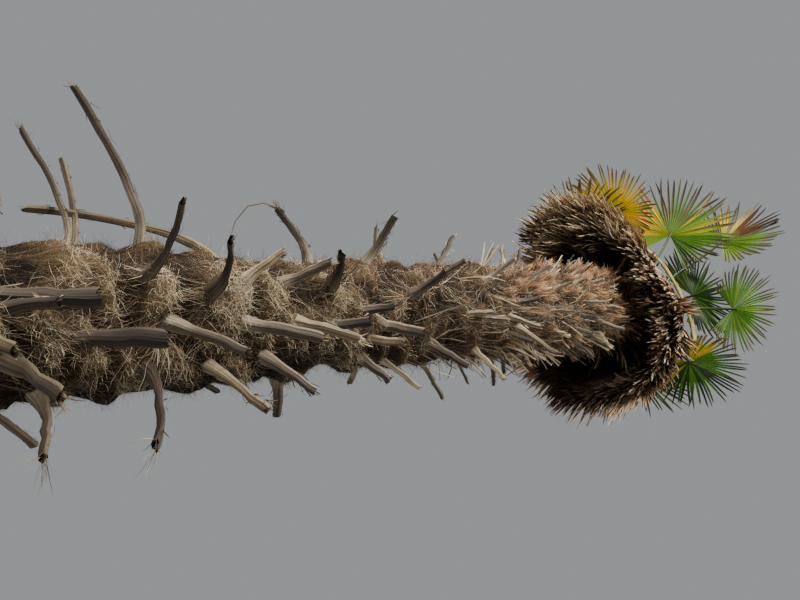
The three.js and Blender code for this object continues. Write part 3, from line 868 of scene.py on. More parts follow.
@dataclass
class Shaft:
    """The shaft in its mat of fibre, with the relief that everything else on the trunk stands on."""

    # Height and radius of the source's shaft
    profile: tuple = (
        (0, 205), (70, 192), (200, 168), (420, 152), (900, 142), (1500, 138), (1950, 140), (2100, 152),
        (2300, 145), (2550, 137), (2900, 148), (3300, 154), (3700, 163), (4100, 176), (4450, 174),
        (4600, 168), (4780, 140), (4950, 100), (5060, 66),
    )
    rule: StubRule = field(default_factory=StubRule)
    faces_around: int = 108
    faces_up: int = 340
    # Share of the rows of faces, and the height that they have reached
    levels: tuple = ((0, 0), (0.2, 1600), (0.68, 3400), (0.94, 4700), (1, 5060))
    # How far the mat lies inside the source's radius, before its relief
    mat_below: float = 26
    # The rows and columns of the relief map
    map_size: tuple = (1012, 360)
    collar_rise: float = 33
    collar_reach: tuple = (50, 100)
    collar_slope: tuple = (-0.42, 0.42)
    collar_strength: tuple = (0.55, 1)
    # How far a collar's edge hangs down for each millimetre away from its stub
    collar_sag: float = 0.2
    # Heights over a collar's edge between which it swells out, and then falls back
    underside: tuple = (-92, 0)
    brow: tuple = (4, 26)
    # Middle and half width of its frayed band, and of the hollow over it
    frayed_band: tuple = (-4, 17)
    hollow_band: tuple = (38, 20)
    # Heights and pitch of the collars whose stubs have gone, up the trunk and at its foot
    bare: tuple = (300, 4600, 24)
    bare_turn: float = 60
    bare_foot: tuple = (50, 300, 18)
    # Between these heights the front has only the draped ridges: azimuth, height, reach and slope
    draped: tuple = (1860, 2380)
    ridges: tuple = (
        (255, 2235, 88, 0.07), (318, 2270, 85, 0.7), (250, 2095, 66, -0.1), (297, 2125, 58, 0.6),
        (239, 2000, 95, 0.17), (290, 1965, 84, 0.2), (276, 1900, 64, 0.1), (225, 1950, 74, -0.3),
        (246, 2335, 74, 0.2), (301, 2040, 66, 0.4),
    )
    # By height: how deep the mat lies in painted shade, and how much painted shade its right side gets,
    # away from the light
    shaded: tuple = ((2600, 0), (2850, 0.27), (3450, 0.27), (3700, 0), (4560, 0), (4680, 0.8))
    shaded_right: tuple = ((2300, 0.3), (2900, 0))
    # The stretch from eye height up is seen closest, so it has the most hairs
    crowding: tuple = ((0, 0.5), (350, 0.34), (1500, 0.4), (1800, 1), (3300, 0.9), (4300, 0.5), (5060, 0.6))
    # Real hairs are 0.4 mm thick. They are drawn coarser where the eye is far, or they wouldn't show.
    hair_widths: tuple = ((0, 2.4), (1500, 0.28), (2000, 0.34), (2800, 0.58), (4400, 1.45))

    def __post_init__(self) -> None:
        """Works out the relief map that the mat and the hairs share."""
        self.rng = np.random.default_rng(SEED)
        self.stubs = self.rule.rows()
        self.top = self.profile[-1][0]
        self.rise, self.fray, self.hollow = self.relief_map()
        # Which way the hairs of each lock lie together, from -1 to 1
        self.flow = wrapped_noise(self.rng, (150, 26), self.map_size)

    def radius(self, height: Numbers) -> Numbers:
        """The source's radius of the shaft at a height."""
        return by_table(self.profile, height)

    def collars(self) -> list[tuple[float, ...]]:
        """The collar under every stub, and those that fallen leaves left.

        Returns:
            Each collar's azimuth, height, reach to each side and slope.
        """
        low, high = self.draped
        bare = [(i * GOLDEN_ANGLE + self.bare_turn, height) for i, height in enumerate(range(*self.bare))]
        bare = [(a, h) for a, h in bare if not (low < h < high and math.sin(math.radians(a)) < -0.2)]
        bare += [(i * GOLDEN_ANGLE, height) for i, height in enumerate(range(*self.bare_foot))]
        return [
            (*place, between(*self.collar_reach, chance(i, 31)), between(*self.collar_slope, chance(i, 35)))
            for i, place in enumerate([*self.stubs[:, :2], *bare])
        ]

    def relief_map(self) -> tuple[Array, Array, Array]:
        """Collars under the stubs and lumps in the mat, on a sheet that wraps round the trunk.

        Returns:
            How far the mat rises in millimetres, how frayed it is, and how deep it lies behind a
            collar's edge, the last two from 0 to 1.
        """
        size, rng = self.map_size, self.rng
        heights = np.linspace(0, self.top, size[0])[:, None]
        azimuths = np.arange(size[1])[None, :] * 360 / size[1]
        wander = 16 * wrapped_noise(rng, (60, 14), size) + 8 * wrapped_noise(rng, (180, 40), size)
        ragged = wrapped_noise(rng, (500, 90), size)
        rise, fray, hollow = np.zeros((3, *size))
        collars = self.collars()
        for index, (azimuth, height, reach, slope) in enumerate([*collars, *self.ridges]):
            near = np.abs(heights[:, 0] - height) < 200
            turn = (azimuths - azimuth + 180) % 360 - 180
            away = np.radians(turn) * self.radius(height)
            # How high each place is over the collar's edge
            up = heights[near] - height - 8 + self.collar_sag * np.abs(away) - slope * away
            up = up + wander[near] - 10 * ragged[near]
            strength = between(*self.collar_strength, chance(index, 32) if index < len(collars) else 1)
            shape = np.exp(-((away / reach) ** 4)) * strength
            swell = shape * smooth_step(*self.underside, up) * (1 - smooth_step(*self.brow, up))
            for sheet, value in (
                (rise, self.collar_rise * swell),
                (fray, shape * bell(*self.frayed_band, up)),
                (hollow, shape * bell(*self.hollow_band, up)),
            ):
                sheet[near] = np.maximum(sheet[near], value)
        lumps = 4 * wrapped_noise(rng, (110, 16), size) + 2.2 * wrapped_noise(rng, (300, 60), size)
        hollow *= np.clip(1.2 - rise / self.collar_rise, 0, 1)
        return rise + lumps + 1.2 * ragged, fray * (1 - 0.8 * hollow), hollow

    def sampled(self, sheet: Array, azimuth: Array, height: Array) -> Array:
        """Reads a map of the trunk at any azimuths and heights.

        Args:
            sheet: The map.
            azimuth: Degrees.
            height: Millimetres over the ground.

        Returns:
            The map's values there.
        """
        rows, columns = self.map_size
        row = np.clip(height / self.top, 0, 0.99999) * (rows - 1)
        column = (azimuth % 360) / 360 * columns
        r, c = row.astype(int), column.astype(int) % columns
        fr, fc, right = row - r, column - np.floor(column), (c + 1) % columns
        low = between(sheet[r, c], sheet[r, right], fc)
        high = between(sheet[r + 1, c], sheet[r + 1, right], fc)
        return between(low, high, fr)

    def surface(self, azimuth: Array, height: Array) -> Array:
        """The outer radius of the mat of fibre at azimuths and heights."""
        return self.radius(height) - self.mat_below + self.sampled(self.rise, azimuth, height)

    def lit(self, azimuth: Array, height: Array) -> Array:
        """Painted light and shade on the mat, with its weathering: near 1 on a crest, which is bleached and
        has painted light, and below 0 in the painted shade of a hollow or deep in the skirt.

        Args:
            azimuth: Degrees.
            height: Millimetres over the ground.

        Returns:
            A number for each place.
        """
        # A crest is paler: bleached, and painted light
        crest = self.sampled(self.rise, azimuth, height) / self.collar_rise
        # Painted shade by height, weaker towards azimuth 325
        hidden = by_table(self.shaded, height) * (1 - 0.9 * facing(azimuth, 325))
        # Painted shade in the hollows behind the collars' edges
        deep = 0.9 * self.sampled(self.hollow, azimuth, height)
        # Painted shade low on the right side, away from the light
        right = by_table(self.shaded_right, height) * facing(azimuth, 345, 2)
        # Painted light on the left side, towards the light
        return crest - deep - hidden - right + 0.16 * facing(azimuth, 190)

    def build(self) -> None:
        """Rolls a grid into the trunk's skin, closes both ends and gives it the mat's relief."""
        shape = start_shape("grid", x_subdivisions=self.faces_around, y_subdivisions=self.faces_up, size=1)
        bpy.ops.object.mode_set(mode="OBJECT")
        mesh = shape.data
        flat = np.empty(len(mesh.vertices) * 3)
        mesh.vertices.foreach_get("co", flat)
        flat = flat.reshape(-1, 3) + 0.5
        azimuth = flat[:, 0] * 360
        height = by_table(self.levels, flat[:, 1])
        rolled = polar(self.surface(azimuth, height), azimuth, height) * MM
        mesh.vertices.foreach_set("co", rolled.ravel())
        around = np.empty(len(mesh.loops), np.int32)
        mesh.loops.foreach_get("vertex_index", around)
        girth = 2 * math.pi * self.radius(2000)
        layer = mesh.uv_layers[0]
        layer.name = "UVMap"
        uv = np.stack([flat[around, 0] * girth, height[around]], -1) * MM
        layer.data.foreach_set("uv", uv.astype(np.float32).ravel())
        # The relief attribute carries painted light and shade, with the crests' weathering, into the mat's
        # colour
        depth = mesh.attributes.new("relief", "FLOAT", "POINT")
        depth.data.foreach_set("value", self.lit(azimuth, height).astype(np.float32))
        bpy.ops.object.mode_set(mode="EDIT")
        bpy.ops.mesh.select_all(action="SELECT")
        bpy.ops.mesh.remove_doubles(threshold=1e-5)
        for end in (0.0, self.top * MM):
            pick(shape, lambda at, z=end: abs(at.z - z) < 1e-5)
            bpy.ops.mesh.edge_face_add()
        bpy.ops.mesh.select_all(action="SELECT")
        bpy.ops.mesh.normals_make_consistent(inside=False)
        bpy.ops.object.mode_set(mode="OBJECT")
        mesh.shade_smooth()
        mesh.materials.append(made(FIBRE_MAT))
        shape.name = mesh.name = "trunk_fibre_mat"
        hand_over(shape, ["trunk"])

    def hair_width(self, height: Array) -> Array:
        """The width of the hairs at heights."""
        return by_table(self.hair_widths, height)

    def dealt(self, shade: Array) -> Array:
        """Deals out finishes 0 to 2, from light to dark, by how lit a place looks from 0 to 1."""
        drawn = np.clip(shade, 0, 1) + self.rng.normal(0, 0.22, shade.shape)
        return np.where(drawn > 0.62, 0, np.where(drawn > 0.25, 1, 2))

    def happens(self, share: Numbers, count: int) -> Array:
        """Draws for each of a count whether something with that share of the chances happens."""
        return self.rng.uniform(0, 1, count) < share

    def starts(self, weights: Array, count: int) -> tuple[Array, Array]:
        """Deals out places on the trunk, more where the weights are high.

        Args:
            weights: A map of the trunk.
            count: How many places.

        Returns:
            Their azimuths and heights.
        """
        rows, columns = self.map_size
        heights = np.linspace(0, self.top, rows)[:, None]
        share = (weights * by_table(self.crowding, heights)).ravel()
        cells = self.rng.choice(share.size, count, p=share / share.sum())
        spread = self.rng.uniform(0, 1, (2, count))
        azimuth = (cells % columns + spread[0]) * 360 / columns
        return azimuth, np.clip((cells // columns + spread[1]) / rows * self.top, 6, self.top - 6)

    def hairs(
        self, azimuth: Array, height: Array, steps: int, long: Array, angle: Array, lift: Array, bow: Array
    ) -> Paths:
        """Hairs that lie along the mat, each at its own angle, and lift off towards their tips.

        Args:
            azimuth: Where each starts, in degrees.
            height: Where each starts.
            steps: How many stretches a hair has.
            long: Length of each.
            angle: Degrees from upright that each leans round the trunk.
            lift: How far each tip stands off the mat.
            bow: How much each turns along its length, in degrees.

        Returns:
            The hairs' paths.
        """
        share = np.linspace(0, 1, steps + 1)[None, :]
        heading = np.radians(angle[:, None] + bow[:, None] * share)
        step = long[:, None] / steps
        ways = (np.cos(heading), np.sin(heading))
        up, round_by = (np.cumsum(way * step, 1) - way[:, :1] * step for way in ways)
        heights = np.clip(height[:, None] + up, 4, self.top - 2)
        azimuths = azimuth[:, None] + np.degrees(round_by / self.radius(heights))
        out = self.surface(azimuths, heights) + 0.6 + lift[:, None] * share**1.7
        return Paths.facing(polar(out, azimuths, heights), outwards(azimuths), self.hair_width(height))

    def strands(
        self,
        place: tuple[Array, Array],
        growth: Growth,
        size: Numbers = 1,
        angle: Numbers = 0,
        bow: Numbers = 0,
    ) -> Paths:
        """Strands of one growth, each with its own length, lean, lift and bow.

        Args:
            place: The azimuths and heights where they start.
            growth: How they grow.
            size: How many times as long as the growth says each is.
            angle: The angle from upright that they vary round.
            bow: The turn along the way that they vary round.

        Returns:
            The strands' paths.
        """
        count, rng = len(place[0]), self.rng
        return self.hairs(
            *place,
            growth.steps,
            long=size * rng.uniform(*growth.length, count),
            angle=angle + rng.normal(0, growth.lean, count),
            lift=rng.uniform(*growth.lift, count),
            bow=bow + rng.normal(0, growth.bow, count),
        )


@dataclass
class Stubs:
    """The stubs of old leaf stalks, with their splinters, frayed margins and a dry string."""

    shaft: Shaft
    base_width: float = 46
    tip_width: float = 22
    thickest: float = 27
    sunk: float = 45
    # How much deeper the buried foot dives than the source's, so that its blunt end doesn't show
    dive: float = 26
    stations: int = 11
    # Each stub's own share of the usual width, and the shares by height
    own_width: tuple = (0.82, 1.18)
    narrower: tuple = ((2600, 1), (3300, 0.66))
    # An old stalk twists a little as it dries, by about so many degrees
    twist: float = 16
    # Shares of the four finishes, from height to height and azimuth to azimuth. Some on the right
    # are pale, and the others are grey or dark with age.
    shares: tuple = (
        (1500, 1850, 0, 360, (0.6, 0, 0.4, 0)),
        (2700, 5060, 0, 275, (0.34, 0.12, 0.54, 0)),
        (2700, 5060, 275, 360, (0.3, 0.25, 0.2, 0.25)),
    )
    # Rows of the front's table whose stubs stay broad to the cut, and how many times as broad
    broad: tuple = ((6, 1.5), (5, 1.3), (13, 1.3), (4, 1.15), (14, 1.2), (1, 1.15))
    # Bars with these depths of channel take turns
    channels: tuple = (0.38, 0.46, 0.54)
    splinters: tuple = (1, 7)
    splinter: float = 16
    splinter_width: tuple = (1.0, 2.6)
    # Rows of the front's table whose ends are frayed, with the number and length of the strands
    frayed: tuple = (
        (13, 16, 42), (24, 20, 60), (1, 12, 26), (9, 10, 26), (17, 14, 30), (14, 14, 34), (0, 10, 22),
    )
    margin_threads: int = 18
    thread: tuple = (2, 10)
    thread_width: tuple = (0.8, 2.4)
    # A dry string: the row of the stub that it hangs from, and its points from the cut end on
    string: tuple = (17, ((0, 0, 4), (-8, 0, -40), (4, 8, -82), (40, 20, -108), (105, 34, -122)))
    string_width: float = 3.2

    def __post_init__(self) -> None:
        """Works out the stubs' lines."""
        self.front = len(self.shaft.rule.front)
        self.lines = self.paths()
        self.joined = Joined("stub_splinters", FRIZZ)

    def paths(self) -> Paths:
        """The lines that the stubs follow: steep out of the trunk, then bent out to the cut end.

        Returns:
            The stubs' paths.
        """
        azimuth, height, long, lean, sway = self.shaft.stubs.T
        rng, none = self.shaft.rng, 0 * long
        buried = self.sunk * 1.5
        total = buried + long
        share = np.linspace(0, 1, self.stations)

        def along_stub(knots: Sequence[Array], values: Sequence[float]) -> Array:
            """Values at every station of every stub, from those at knots along it."""
            rows = zip(total[:, None] * share, np.stack(knots, -1))
            return np.stack([np.interp(away, places, values) for away, places in rows])

        knots = (none, none + buried * 0.6, buried + long * 0.25, buried + long * 0.8, total)
        angle = np.radians(lean[:, None] * along_stub(knots, (0.6, 0.62, 1.0, 1.12, 1.14)))[..., None]
        side = sideways(azimuth)[:, None, :]
        level = unit(outwards(azimuth)[:, None, :] + side * sway[:, None, None])
        along = unit(level * np.sin(angle) + UP * np.cos(angle))
        start = polar(self.shaft.radius(height) - self.sunk, azimuth, height - self.sunk)[:, None, :]
        step = (total / (self.stations - 1))[:, None, None]
        at = walked(start, (along[:, 1:] + along[:, :-1]) / 2 * step)
        dive = self.dive * np.clip(1 - total[:, None] * share / buried, 0, 1)
        at = at - outwards(azimuth)[:, None, :] * dive[..., None]
        at[:, 2:] += rng.normal(0, 1.3, at[:, 2:].shape)
        # The foot clasps the trunk, and the stalk narrows fast to its own width
        knots = (none, none + buried, buried + 0.3 * long, total)
        base, tip = self.base_width, self.tip_width
        width = along_stub(knots, (base * 1.2, base * 0.86, tip * 1.05, tip))
        own = between(*self.own_width, chance(np.arange(len(long)), 33))
        width *= (own * by_table(self.narrower, height))[:, None]
        for row, times in self.broad:
            width[row - self.front] *= np.linspace(0.8, times, self.stations)
        depth = np.minimum(width, self.thickest) * 0.5
        width *= rng.uniform(0.86, 1.14, width.shape)
        across = unit(side - along * np.sum(side * along, -1, keepdims=True))
        above = np.cross(along, across)
        twist = np.radians(rng.normal(0, self.twist, (len(long), 1)) * share)[..., None]
        turned = across * np.cos(twist) + above * np.sin(twist)
        return Paths(at, -turned, above * np.cos(twist) - across * np.sin(twist), width, depth)

    def build(self) -> None:
        """Builds and dresses the stubs, and all that frays from them."""
        self.build_bars()
        self.add_splinters()
        self.add_threads()
        self.add_string()
        self.joined.build()

    def build_bars(self) -> None:
        """Lays a leaf-stalk stub along every rule of the source."""
        rng, stubs = self.shaft.rng, self.shaft.stubs
        kinds = rng.choice(3, len(stubs), p=(0.5, 0.3, 0.2))
        azimuth, height = stubs[:, 0] % 360, stubs[:, 1]
        for low, high, start, end, shares in self.shares:
            chosen = (height > low) & (height < high) & (azimuth >= start) & (azimuth < end)
            kinds[chosen] = rng.choice(4, int(chosen.sum()), p=shares)
        kinds[-self.front :] = [row[5] for row in self.shaft.rule.front]
        joined = Joined("leaf_stalk_stubs", STALK, crease=30)
        bars = len(self.channels)
        for shape, channel in enumerate(self.channels):
            bar = Template.bar(14, 10, channel, torn=0.04, rough=0.022, seed=SEED + shape)
            joined.add(bar, self.lines.chosen(slice(shape, None, bars)), kinds[shape::bars])
        joined.build()

    def add_splinters(self) -> None:
        """Splits the cut ends of the stubs into splinters, a few of them into long strands."""
        lines, rng, steps = self.lines, self.shaft.rng, 4
        total = len(self.shaft.stubs)
        many = rng.integers(*self.splinters, total)
        reach = np.full(total, self.splinter)
        for row, strands, length in self.frayed:
            many[row - self.front], reach[row - self.front] = strands, length
        stub = np.repeat(np.arange(total), many)
        count = len(stub)
        ends = (unit(lines.at[:, -1] - lines.at[:, -2]), lines.side[:, -1], lines.at[:, -1])
        along, across, start = (values[stub][:, None, :] for values in ends)
        start = start - along * rng.uniform(2, 16, (count, 1, 1))
        off = rng.uniform(-0.45, 0.45, (count, 1, 1)) * lines.width[stub, -1][:, None, None]
        start = start + across * off
        loose = np.where(reach[stub] > 20, 0.26, 0.12)[:, None, None]
        bend = np.cumsum(rng.normal(0, 0.12, (count, steps, 3)), 1)
        heading = unit(along + loose * (rng.normal(0, 1, (count, 1, 3)) + bend * 3))
        step = (reach[stub] * rng.uniform(0.5, 1.4, count) / steps)[:, None, None]
        width = rng.uniform(*self.splinter_width, count)
        strands = Paths.facing(walked(start, heading * step), lines.up[stub, -1:], width)
        self.joined.add(Template.ribbon(steps), strands, rng.choice(3, count, p=(0.6, 0.3, 0.1)))

    def add_threads(self) -> None:
        """Frays both margins of every stub with short threads."""
        lines, rng, steps = self.lines, self.shaft.rng, 3
        stub = np.repeat(np.arange(len(self.shaft.stubs)), self.margin_threads)
        count = len(stub)
        station = rng.integers(4, self.stations - 1, count)
        edge = rng.choice((-1, 1), count)[:, None]
        along = unit(lines.at[stub, station + 1] - lines.at[stub, station])
        across, up = lines.side[stub, station] * edge, lines.up[stub, station]
        start = lines.at[stub, station] + across * lines.width[stub, station][:, None] * 0.48
        start = (start + up * lines.depth[stub, station][:, None] * 0.3)[:, None, :]
        way = along * rng.choice((-0.6, 1), (count, 1), p=(0.3, 0.7))
        way = way + across * rng.uniform(0, 0.5, (count, 1))
        bend = np.cumsum(rng.normal(0, 0.2, (count, steps, 3)), 1)
        at = walked(start, unit(unit(way)[:, None, :] + bend) * rng.uniform(*self.thread, (count, 1, 1)))
        threads = Paths.facing(at, up[:, None, :], rng.uniform(*self.thread_width, count))
        kinds = rng.choice(4, count, p=(0.2, 0.35, 0.35, 0.1))
        self.joined.add(Template.ribbon(steps), threads, kinds)

    def add_string(self) -> None:
        """Hangs the dry string from its stub."""
        row, points = self.string
        steps = 2 * (len(points) - 1)
        place = np.linspace(0, len(points) - 1, steps + 1)
        line = np.stack([np.interp(place, range(len(points)), axis) for axis in zip(*points)], -1)
        line = (line + self.lines.at[row - self.front, -1])[None]
        string = Paths.facing(line, np.array([0, -1, 0.3]), np.array([self.string_width]))
        self.joined.add(Template.ribbon(steps), string, 3)


@dataclass
class SplitStalks:
    """Split strips of old leaf stalk on the upper trunk, most of them on its right."""

    shaft: Shaft
    count: int = 340
    heights: tuple = (2750, 4560)
    right: tuple = (262, 372)
    strip: Growth = Growth(4, (60, 190), (10, 85), lean=15, bow=10)
    shorter: tuple = ((4300, 1), (4600, 0.5))
    width: tuple = (2.6, 6.4)
    wider: tuple = ((2750, 0.7), (3700, 1))
    taper: tuple = (1, 1, 0.95, 0.9, 0.8)
    shares: tuple = (0.2, 0.28, 0.34, 0.18)
    # Bundles of pale split ends: azimuth, height and number
    bundles: tuple = ((318, 3330, 5), (322, 3520, 5), (338, 3150, 4), (190, 3290, 3), (305, 3900, 5))
    split_end: Growth = Growth(4, (60, 110), (55, 100), lean=10, bow=6)
    end_width: tuple = (5, 8)

    def build(self) -> None:
        """Builds and dresses the strips and the bundles."""
        shaft, rng, count = self.shaft, self.shaft.rng, self.count
        right = shaft.happens(0.5, count)
        azimuth = np.where(right, rng.uniform(*self.right, count), rng.uniform(0, 360, count))
        height = between(*self.heights, rng.uniform(0, 1, count) ** 0.75)
        paths = shaft.strands((azimuth, height), self.strip, size=by_table(self.shorter, height))
        broad = rng.uniform(*self.width, count) * by_table(self.wider, height)
        paths.width = broad[:, None] * np.array(self.taper)
        paths.depth = paths.width * 0.45
        joined = Joined("trunk_split_stalks", STALK)
        bar = Template.bar(4, 6, 0.1, torn=0.03)
        joined.add(bar, paths, rng.choice(4, count, p=self.shares))
        for azimuth, height, number in self.bundles:
            place = (azimuth + rng.normal(0, 4, number), height + rng.normal(0, 22, number))
            paths = shaft.strands(place, self.split_end)
            paths.width = np.ones(5) * rng.uniform(*self.end_width, (number, 1))
            paths.depth = paths.width * 0.5
            joined.add(bar, paths, 3)
        joined.build()


@dataclass
class LeafFeet:
    """The pointed, torn feet of the newest dead leaves, round the top of the trunk."""

    shaft: Shaft
    count: int = 300
    heights: tuple = (3450, 4600)
    turn: float = 14
    lean: tuple = (14, 62)
    length: tuple = (45, 105)
    width: tuple = (9, 27)
    taper: tuple = (1, 0.85, 0.6, 0.22)
    sunk: float = 10
    shares: tuple = (0.34, 0.26, 0.25, 0.15)

    def build(self) -> None:
        """Builds and dresses the feet."""
        shaft, rng, count = self.shaft, self.shaft.rng, self.count
        azimuth = np.arange(count) * GOLDEN_ANGLE + rng.uniform(-self.turn, self.turn, count)
        height = between(*self.heights, rng.uniform(0, 1, count) ** 0.7)
        share = np.linspace(0, 1, len(self.taper))[None, :]
        lean = np.radians(rng.uniform(*self.lean, count))[:, None]
        reach = rng.uniform(*self.length, count)[:, None] * share
        out = shaft.surface(azimuth, height)[:, None] - self.sunk + np.sin(lean) * reach
        turned = azimuth[:, None] + rng.normal(0, 5, (count, 1)) * share
        at = polar(out, turned, height[:, None] + np.cos(lean) * reach)
        width = rng.uniform(*self.width, count)[:, None] * np.array(self.taper)
        paths = Paths.facing(at, -outwards(azimuth)[:, None, :], width, width * 0.4)
        kinds = rng.choice(4, count, p=self.shares)
        joined = Joined("leaf_foot_scales", [*TUFT, STALK[2], STALK[1]], crease=30)
        joined.add(Template.bar(4, 6, 0.3, torn=0.05, rough=0.03), paths, kinds).build()


@dataclass
class CombedFibre:
    """Hairs that cross each other close to the mat."""

    shaft: Shaft
    count: int = 37000
    steps: int = 3
    length: tuple = (45, 120)
    lift: tuple = (0, 4)
    # Share of the length, and turn along the way, in the hollows and on the ridges
    shorter: tuple = (1, 0.55)
    bow: tuple = (20, 60)
    upright: tuple = (2, 24)
    # On the left the mat is redder, and higher up too
    red_azimuth: float = 175
    redder: tuple = ((2600, 0), (4000, 0.8))

    def build(self) -> None:
        """Builds and dresses the hairs."""
        shaft, rng, count = self.shaft, self.shaft.rng, self.count
        azimuth, height = shaft.starts(np.ones_like(shaft.rise), count)
        # In the hollows the hairs stand nearly upright, and on the ridges they lie with their lock
        matted = smooth_step(0.1, 0.5, shaft.lit(azimuth, height))
        level = 90 + 75 * shaft.sampled(shaft.flow, azimuth, height) + rng.normal(0, 20, count)
        upright = rng.choice((-1, 1), count) * rng.uniform(*self.upright, count) * (1 - matted)
        paths = shaft.hairs(
            azimuth,
            height,
            self.steps,
            angle=upright + (level - 180 * rng.integers(0, 2, count)) * matted,
            long=rng.uniform(*self.length, count) * between(*self.shorter, matted),
            lift=rng.uniform(*self.lift, count) ** 1.2 * (1 + matted),
            bow=rng.normal(0, 1, count) * between(*self.bow, matted),
        )
        # Painted shade: hairs in the hollows and in the shade get the dark finish
        kinds = shaft.dealt(shaft.lit(azimuth, height + 10) - 0.16)
        red = np.maximum(facing(azimuth, self.red_azimuth, 3), by_table(self.redder, height))
        redder = (kinds < 2) & shaft.happens(np.clip(red, 0.25, 0.85), count)
        kinds = np.where(redder, 0, np.maximum(kinds, 1))
        Joined("trunk_fibre_combed", COMBED).add(Template.ribbon(self.steps), paths, kinds).build()


@dataclass
class Sheaths:
    """Fine fibres that fan down and round the trunk from the foot of every stub."""

    shaft: Shaft
    hairs: int = 44
    hair: Growth = Growth(4, (45, 140), (1, 8), lean=12, bow=14)
    half_width: float = 24
    below: tuple = (-34, 16)
    fan: float = 66
    bow: float = 20
    shares: tuple = (0.12, 0.24, 0.16, 0.12, 0.2, 0.1, 0.06)

    def build(self) -> None:
        """Builds and dresses the fibres."""
        shaft, rng = self.shaft, self.shaft.rng
        stub = np.repeat(np.arange(len(shaft.stubs)), self.hairs)
        count = len(stub)
        across = rng.uniform(-1, 1, count)
        azimuth, height = shaft.stubs[stub, :2].T
        azimuth = azimuth + across * np.degrees(self.half_width / shaft.radius(height))
        place = (azimuth, height + rng.uniform(*self.below, count))
        paths = shaft.strands(place, self.hair, angle=180 - across * self.fan, bow=-across * self.bow)
        joined = Joined("trunk_fibre_sheaths", [*COMBED, *FRIZZ])
        joined.add(Template.ribbon(self.hair.steps), paths, rng.choice(7, count, p=self.shares)).build()


@dataclass
class Tufts:
    """Hairs gathered into the shaggy points that stand between the upper stubs."""

    shaft: Shaft
    tufts: int = 220
    hairs: int = 30
    steps: int = 4
    heights: tuple = (3250, 4640)
    # Most stand round this azimuth on the left, spread by so many degrees
    left: tuple = (235, 42)
    left_share: float = 0.6
    out: tuple = (4, 44)
    tall: tuple = (5, 60)
    # Share of the tan hairs, by the sine of the azimuth from here
    tan_from: float = 200
    tan: tuple = ((-1, 0.2), (0, 0.3), (1, 0.8))

    def build(self) -> None:
        """Builds and dresses the tufts."""
        shaft, rng, tufts = self.shaft, self.shaft.rng, self.tufts
        left = shaft.happens(self.left_share, tufts)
        middle = np.where(left, rng.normal(*self.left, tufts), rng.uniform(0, 360, tufts))
        height = between(*self.heights, rng.uniform(0, 1, tufts) ** 0.8)
        out_by = shaft.radius(height) + rng.uniform(*self.out, tufts)
        peak = polar(out_by, middle + rng.normal(0, 8, tufts), height + rng.uniform(*self.tall, tufts))
        tuft = np.repeat(np.arange(tufts), self.hairs)
        count = len(tuft)
        azimuth = middle[tuft] + rng.normal(0, 7, count)
        low = height[tuft] + rng.normal(-22, 18, count)
        start = polar(shaft.surface(azimuth, low) - 3, azimuth, low)[:, None, :]
        end = peak[tuft][:, None, :] + rng.normal(0, 7, (count, 1, 3))
        share = np.linspace(0, 1, self.steps + 1)[:, None]
        out = outwards(azimuth)[:, None, :]
        at = between(start, end, share * rng.uniform(0.6, 1.1, (count, 1, 1)))
        at = at + out * np.sin(share * math.pi) * rng.normal(3, 3, (count, 1, 1))
        paths = Paths.facing(at, out, shaft.hair_width(low) * 1.1)
        tan = by_table(self.tan, np.sin(np.radians(azimuth - self.tan_from)))
        kinds = shaft.happens(tan, count).astype(int)
        Joined("trunk_fibre_tufts", TUFT).add(Template.ribbon(self.steps), paths, kinds).build()


@dataclass
class LooseFibre:
    """Long single hairs in loops over the mat, and bundles of dry strands."""

    shaft: Shaft
    count: int = 1500
    steps: int = 8
    length: tuple = (60, 150)
    lift: tuple = (3, 22)
    angle: tuple = (-110, 110)
    bow: float = 100
    finer: float = 0.75
    shares: tuple = (0.35, 0.4, 0.15, 0.1)
    # Bundles of dry strands: azimuth, height, angle from upright, spread, length and number
    bundles: tuple = ((234, 2108, 167, 8, 85, 11), (268, 2076, 112, 22, 120, 22))
    # The shares of that length that the strands have, and their lift
    strand: tuple = ((0.6, 1.15), (6, 46))
    strand_bow: float = 40
    coarser: tuple = (0.8, 1.8)

    def build(self) -> None:
        """Builds and dresses the hairs and the bundles."""
        shaft, rng, count = self.shaft, self.shaft.rng, self.count
        paths = shaft.hairs(
            *shaft.starts(shaft.fray + 0.1, count),
            self.steps,
            long=rng.uniform(*self.length, count),
            angle=rng.uniform(*self.angle, count),
            lift=rng.uniform(*self.lift, count),
            bow=rng.normal(0, self.bow, count),
        )
        paths.width = paths.width * self.finer
        ribbon = Template.ribbon(self.steps)
        joined = Joined("trunk_fibre_loose", FRIZZ)
        joined.add(ribbon, paths, rng.choice(4, count, p=self.shares))
        for azimuth, height, angle, spread, long, number in self.bundles:
            growth = Growth(self.steps, *self.strand, lean=spread, bow=self.strand_bow)
            place = (azimuth + rng.normal(0, 4, number), height + rng.normal(0, 8, number))
            paths = shaft.strands(place, growth, size=long, angle=angle)
            paths.width = paths.width * rng.uniform(*self.coarser, (number, 1))
            joined.add(ribbon, paths)
        joined.build()


